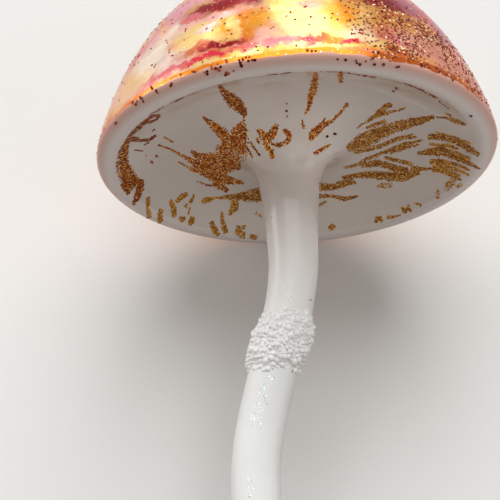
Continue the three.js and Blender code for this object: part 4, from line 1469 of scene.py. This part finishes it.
addPiece("tinCup", makeCup(), finishes["tinnedSteel"], "ferrule")
addPiece("neckPlasterRing", makeNeckPlaster(), finishes["neckPlaster"], "neck_cement")
addPiece("cupRivet", makeRivet(), finishes["tinnedSteel"], "ferrule_rivet")
print("foot made")


# Clip: the levers with softened edges, pin and spring
clip = {
    "edge": 0.16 * mm,
    "edgeSteps": 2,
    "flat": math.radians(1),     # faces that turn less are one face
    "crease": math.radians(40),  # edges that turn more are softened
    "sharp": math.radians(25),
}


def softenedCopy(name, node):
    mesh = frame["nodes"][node].data.copy()
    shape = bmesh.new()
    shape.from_mesh(mesh)
    bmesh.ops.remove_doubles(shape, verts=shape.verts, dist=1e-6)
    bmesh.ops.dissolve_limit(shape, angle_limit=clip["flat"], verts=shape.verts, edges=shape.edges)
    shape.to_mesh(mesh)
    shape.free()
    mesh.name = name
    edge = {"width": clip["edge"], "segments": clip["edgeSteps"], "angle_limit": clip["crease"]}
    softened = modified(mesh, finishes["tinnedSteel"], "BEVEL", limit_method="ANGLE", **edge)
    softened.shade_smooth()
    softened.set_sharp_from_angle(angle=clip["sharp"])
    return softened


levers = {"upperLever": ("clip_upper_lever", glassBody), "lowerLever": ("clip_lower_lever", jawBody)}
for name, (node, body) in levers.items():
    addPiece(name, softenedCopy(name, node), finishes["tinnedSteel"], node, body)

pivot = Vector(frame["joints"][0]["pos_m"])
hinge = {
    "pin": 1.5 * mm,
    "head": 2.3 * mm,
    "headHeight": 0.7 * mm,
    "crownPull": 0.4 * mm,
    "crownFlat": 0.7,       # share of the head that pulls its crown flat
    "steps": 10,
    "sides": 48,
}


def makePin():
    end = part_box("pivot_pin")[1].y
    head, under = hinge["head"], end - hinge["headHeight"]
    pulls = (head, under + hinge["crownPull"]), (head * hinge["crownFlat"], end)
    crown = cubic((head, under), *pulls, (0, end), hinge["steps"])
    half = [(hinge["pin"], 0), (hinge["pin"], under), (head, under)] + crown
    profile = [(radius, -along) for radius, along in half[::-1]] + half
    mesh = turnedMesh("hingePin", profile, 0, hinge["sides"])
    mesh.transform(Matrix.Translation(pivot) @ Matrix.Rotation(math.pi / 2, 4, "X"))
    return mesh


addPiece("hingePin", makePin(), finishes["tinnedSteel"], "pivot_pin")

coil = {
    "wire": 0.8 * mm,
    "radius": 2.2 * mm,
    "turns": 3,
    "gap": 0.5 * mm,
    "endReach": 1.1,  # how much of the wire counts as its end, in thicknesses
    "sides": 14,
    "perTurn": 40,
}


# Middle of the wire's end on one side of the clip, from the frame
def wireEnd(side):
    places = [v.co for v in frame["nodes"]["torsion_spring"].data.vertices if v.co.y * side > 0]
    tip = min(places, key=lambda place: place.x)
    near = [place for place in places if (place - tip).length < coil["endReach"] * coil["wire"]]
    low = Vector([min(place[i] for place in near) for i in range(3)])
    high = Vector([max(place[i] for place in near) for i in range(3)])
    return (low + high) / 2


def coilPath():
    lower, upper = wireEnd(-1), wireEnd(1)
    turns = []
    for end, sense in ((lower, 1), (upper, -1)):
        x, z = end.x - pivot.x, end.z - pivot.z
        turns.append(math.atan2(z, x) + sense * math.acos(coil["radius"] / math.hypot(x, z)))
    start, stop = turns
    while stop < start:
        stop += 2 * math.pi
    stop += coil["turns"] * 2 * math.pi
    length = (coil["wire"] + coil["gap"]) * (stop - start) / (2 * math.pi)
    count = round((stop - start) / (2 * math.pi) * coil["perTurn"])
    path = [Vector((lower.x, -length / 2, lower.z))]
    for i in range(count + 1):
        turn = start + (stop - start) * i / count
        across = length * (i / count - 0.5)
        x, z = coil["radius"] * math.cos(turn), coil["radius"] * math.sin(turn)
        path.append(pivot + Vector((x, across, z)))
    path.append(Vector((upper.x, length / 2, upper.z)))
    return path, length


def wireMesh(name, path, radius, sides):
    rings = []
    aside = Vector((0, 1, 0))
    for i, point in enumerate(path):
        ahead = (path[min(i + 1, len(path) - 1)] - path[max(i - 1, 0)]).normalized()
        aside = (aside - ahead * aside.dot(ahead)).normalized()
        third = ahead.cross(aside)
        turns = [2 * math.pi * k / sides for k in range(sides)]
        rings.append([tuple(point + radius * (aside * math.cos(t) + third * math.sin(t))) for t in turns])
    points = [point for ring in rings for point in ring]
    faces = [tuple(range(sides)), tuple(range(len(points) - sides, len(points)))]
    for i in range(len(rings) - 1):
        low, high = i * sides, (i + 1) * sides
        for k in range(sides):
            after = (k + 1) % sides
            faces.append((low + k, low + after, high + after, high + k))
    return meshFrom(name, points, faces)


coilPoints, coilLength = coilPath()
coilMesh = wireMesh("coilSpring", coilPoints, coil["wire"] / 2, coil["sides"])
coilSpring = newPiece("coilSpring", coilMesh, finishes["springSteel"])
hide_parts("torsion_spring")
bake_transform(coilSpring)
print("clip made")


# Stage: a pale floor, and a leaning backdrop that shows only its front
stageSettings = {
    "colour": tint(238, 238, 236),
    "bounce": tint(135, 126, 119),     # what the floor throws back up
    "backBounce": tint(149, 142, 137),  # what the backdrop throws forwards
    "floorDrop": 140 * mm,            # below the clip
    "lean": (0.119, -0.965, 0.235),   # which way the backdrop faces
    "gap": 0.6 * mm,                  # between it and the back of the rim
    "half": 1.6,                      # half the width of either, in metres
    "grain": (700, 0.1, 0.1 * mm),    # scale, strength and depth of the paper's bumps
}


def makePaper(name, bounce):
    material, tree, shader = newMaterial(name, Roughness=0.9)
    addBump(tree, shader, objectPlace(tree), *stageSettings["grain"])
    thrown = addNode(tree, "ShaderNodeLightPath").outputs["Is Diffuse Ray"]
    feed(tree, shader, Base_Color=mixColours(tree, thrown, stageSettings["colour"], bounce))
    clear = addNode(tree, "ShaderNodeBsdfTransparent")
    behind = addNode(tree, "ShaderNodeNewGeometry").outputs["Backfacing"]
    sides = {"in0": behind, "in1": shader.outputs[0], "in2": clear.outputs[0]}
    either = addNode(tree, "ShaderNodeMixShader", None, **sides)
    feed(tree, tree.nodes["Material Output"], Surface=either.outputs[0])
    return material


def makeStage():
    papers = {
        "floor": makePaper("floorPaper", stageSettings["bounce"]),
        "backdrop": makePaper("backdropPaper", stageSettings["backBounce"]),
    }
    half = stageSettings["half"]
    square = [(-half, -half, 0), (half, -half, 0), (half, half, 0), (-half, half, 0)]
    facing = Vector(stageSettings["lean"]).normalized()
    reach = cap["radius"] * math.hypot(facing.x, facing.y) + stageSettings["gap"]
    turn = Vector((0, 0, 1)).rotation_difference(facing).to_matrix().to_4x4()
    lowest = cadBox[0][2] - stageSettings["floorDrop"]
    places = {
        "floor": Matrix.Translation((0, 0, lowest)),
        "backdrop": Matrix.Translation(rimCentre - facing * reach) @ turn,
    }
    for name, matrix in places.items():
        mesh = bpy.data.meshes.new(name)
        mesh.from_pydata([matrix @ Vector(corner) for corner in square], [], [(0, 1, 2, 3)])
        newPiece(name, mesh, papers[name])


makeStage()

# Lamps: a broad one in front, two smaller ones above, a tall one at the left and three weak fills
lampSettings = {
    "frontWindow": {"from": (0.08, -0.79, 0.61), "away": 1.1, "size": (1.3, 0.9), "power": 10.1},
    "skylight": {"from": (0.16, -0.36, 0.92), "away": 1.0, "size": (0.38, 0.5), "power": 1.5},
    "skylightPane": {"from": (-0.36, -0.15, 0.92), "away": 1.0, "size": (0.14, 0.4), "power": 0.25},
    "leftWindow": {"from": (-0.9, -0.12, 0.42), "away": 1.0, "size": (0.6, 0.7), "power": 4.4},
    "frontFill": {"from": (0.1, -0.93, -0.35), "away": 0.5, "size": (0.3, 0.3), "power": 0.2},
    "sideFill": {"from": (0.95, -0.2, -0.2), "away": 0.5, "size": (0.3, 0.3), "power": 0.25},
    "lowFill": {"from": (0.42, -0.72, -0.55), "away": 0.3, "size": (0.24, 0.24), "power": 0.11},
}
lampTarget = rimCentre - Vector((0, 0, 30 * mm))
# World: strength and tint of its light, then of what the camera and the reflections see
worldLight = {"strength": 0.1, "shade": tint(255, 249, 243), "seen": 0.9, "seenShade": tint(255, 255, 255)}


def makeLights():
    for name, settings in lampSettings.items():
        data = bpy.data.lights.new(name, "AREA")
        data.shape = "RECTANGLE"
        data.size, data.size_y = settings["size"]
        data.energy = settings["power"]
        lamp = bpy.data.objects.new(name, data)
        toLamp = Vector(settings["from"]).normalized()
        turn = toLamp.to_track_quat("Z", "Y").to_matrix().to_4x4()
        lamp.matrix_world = Matrix.Translation(lampTarget + toLamp * settings["away"]) @ turn
        lamp.visible_camera = False
        bpy.context.scene.collection.objects.link(lamp)
    world = bpy.data.worlds.new("studio")
    bpy.context.scene.world = world
    world.use_nodes = True
    tree = world.node_tree
    path = addNode(tree, "ShaderNodeLightPath").outputs
    seen = math2(tree, "MAXIMUM", path["Is Camera Ray"], path["Is Transmission Ray"])
    seen = math2(tree, "MAXIMUM", seen, path["Is Glossy Ray"])
    strength = ranged(tree, seen, 0.0, 1.0, in3=worldLight["strength"], in4=worldLight["seen"])
    shade = mixColours(tree, seen, worldLight["shade"], worldLight["seenShade"])
    feed(tree, tree.nodes["Background"], Color=shade, Strength=strength)


makeLights()
bpy.context.scene.view_settings.view_transform = "Standard"
print("stage and lamps set")
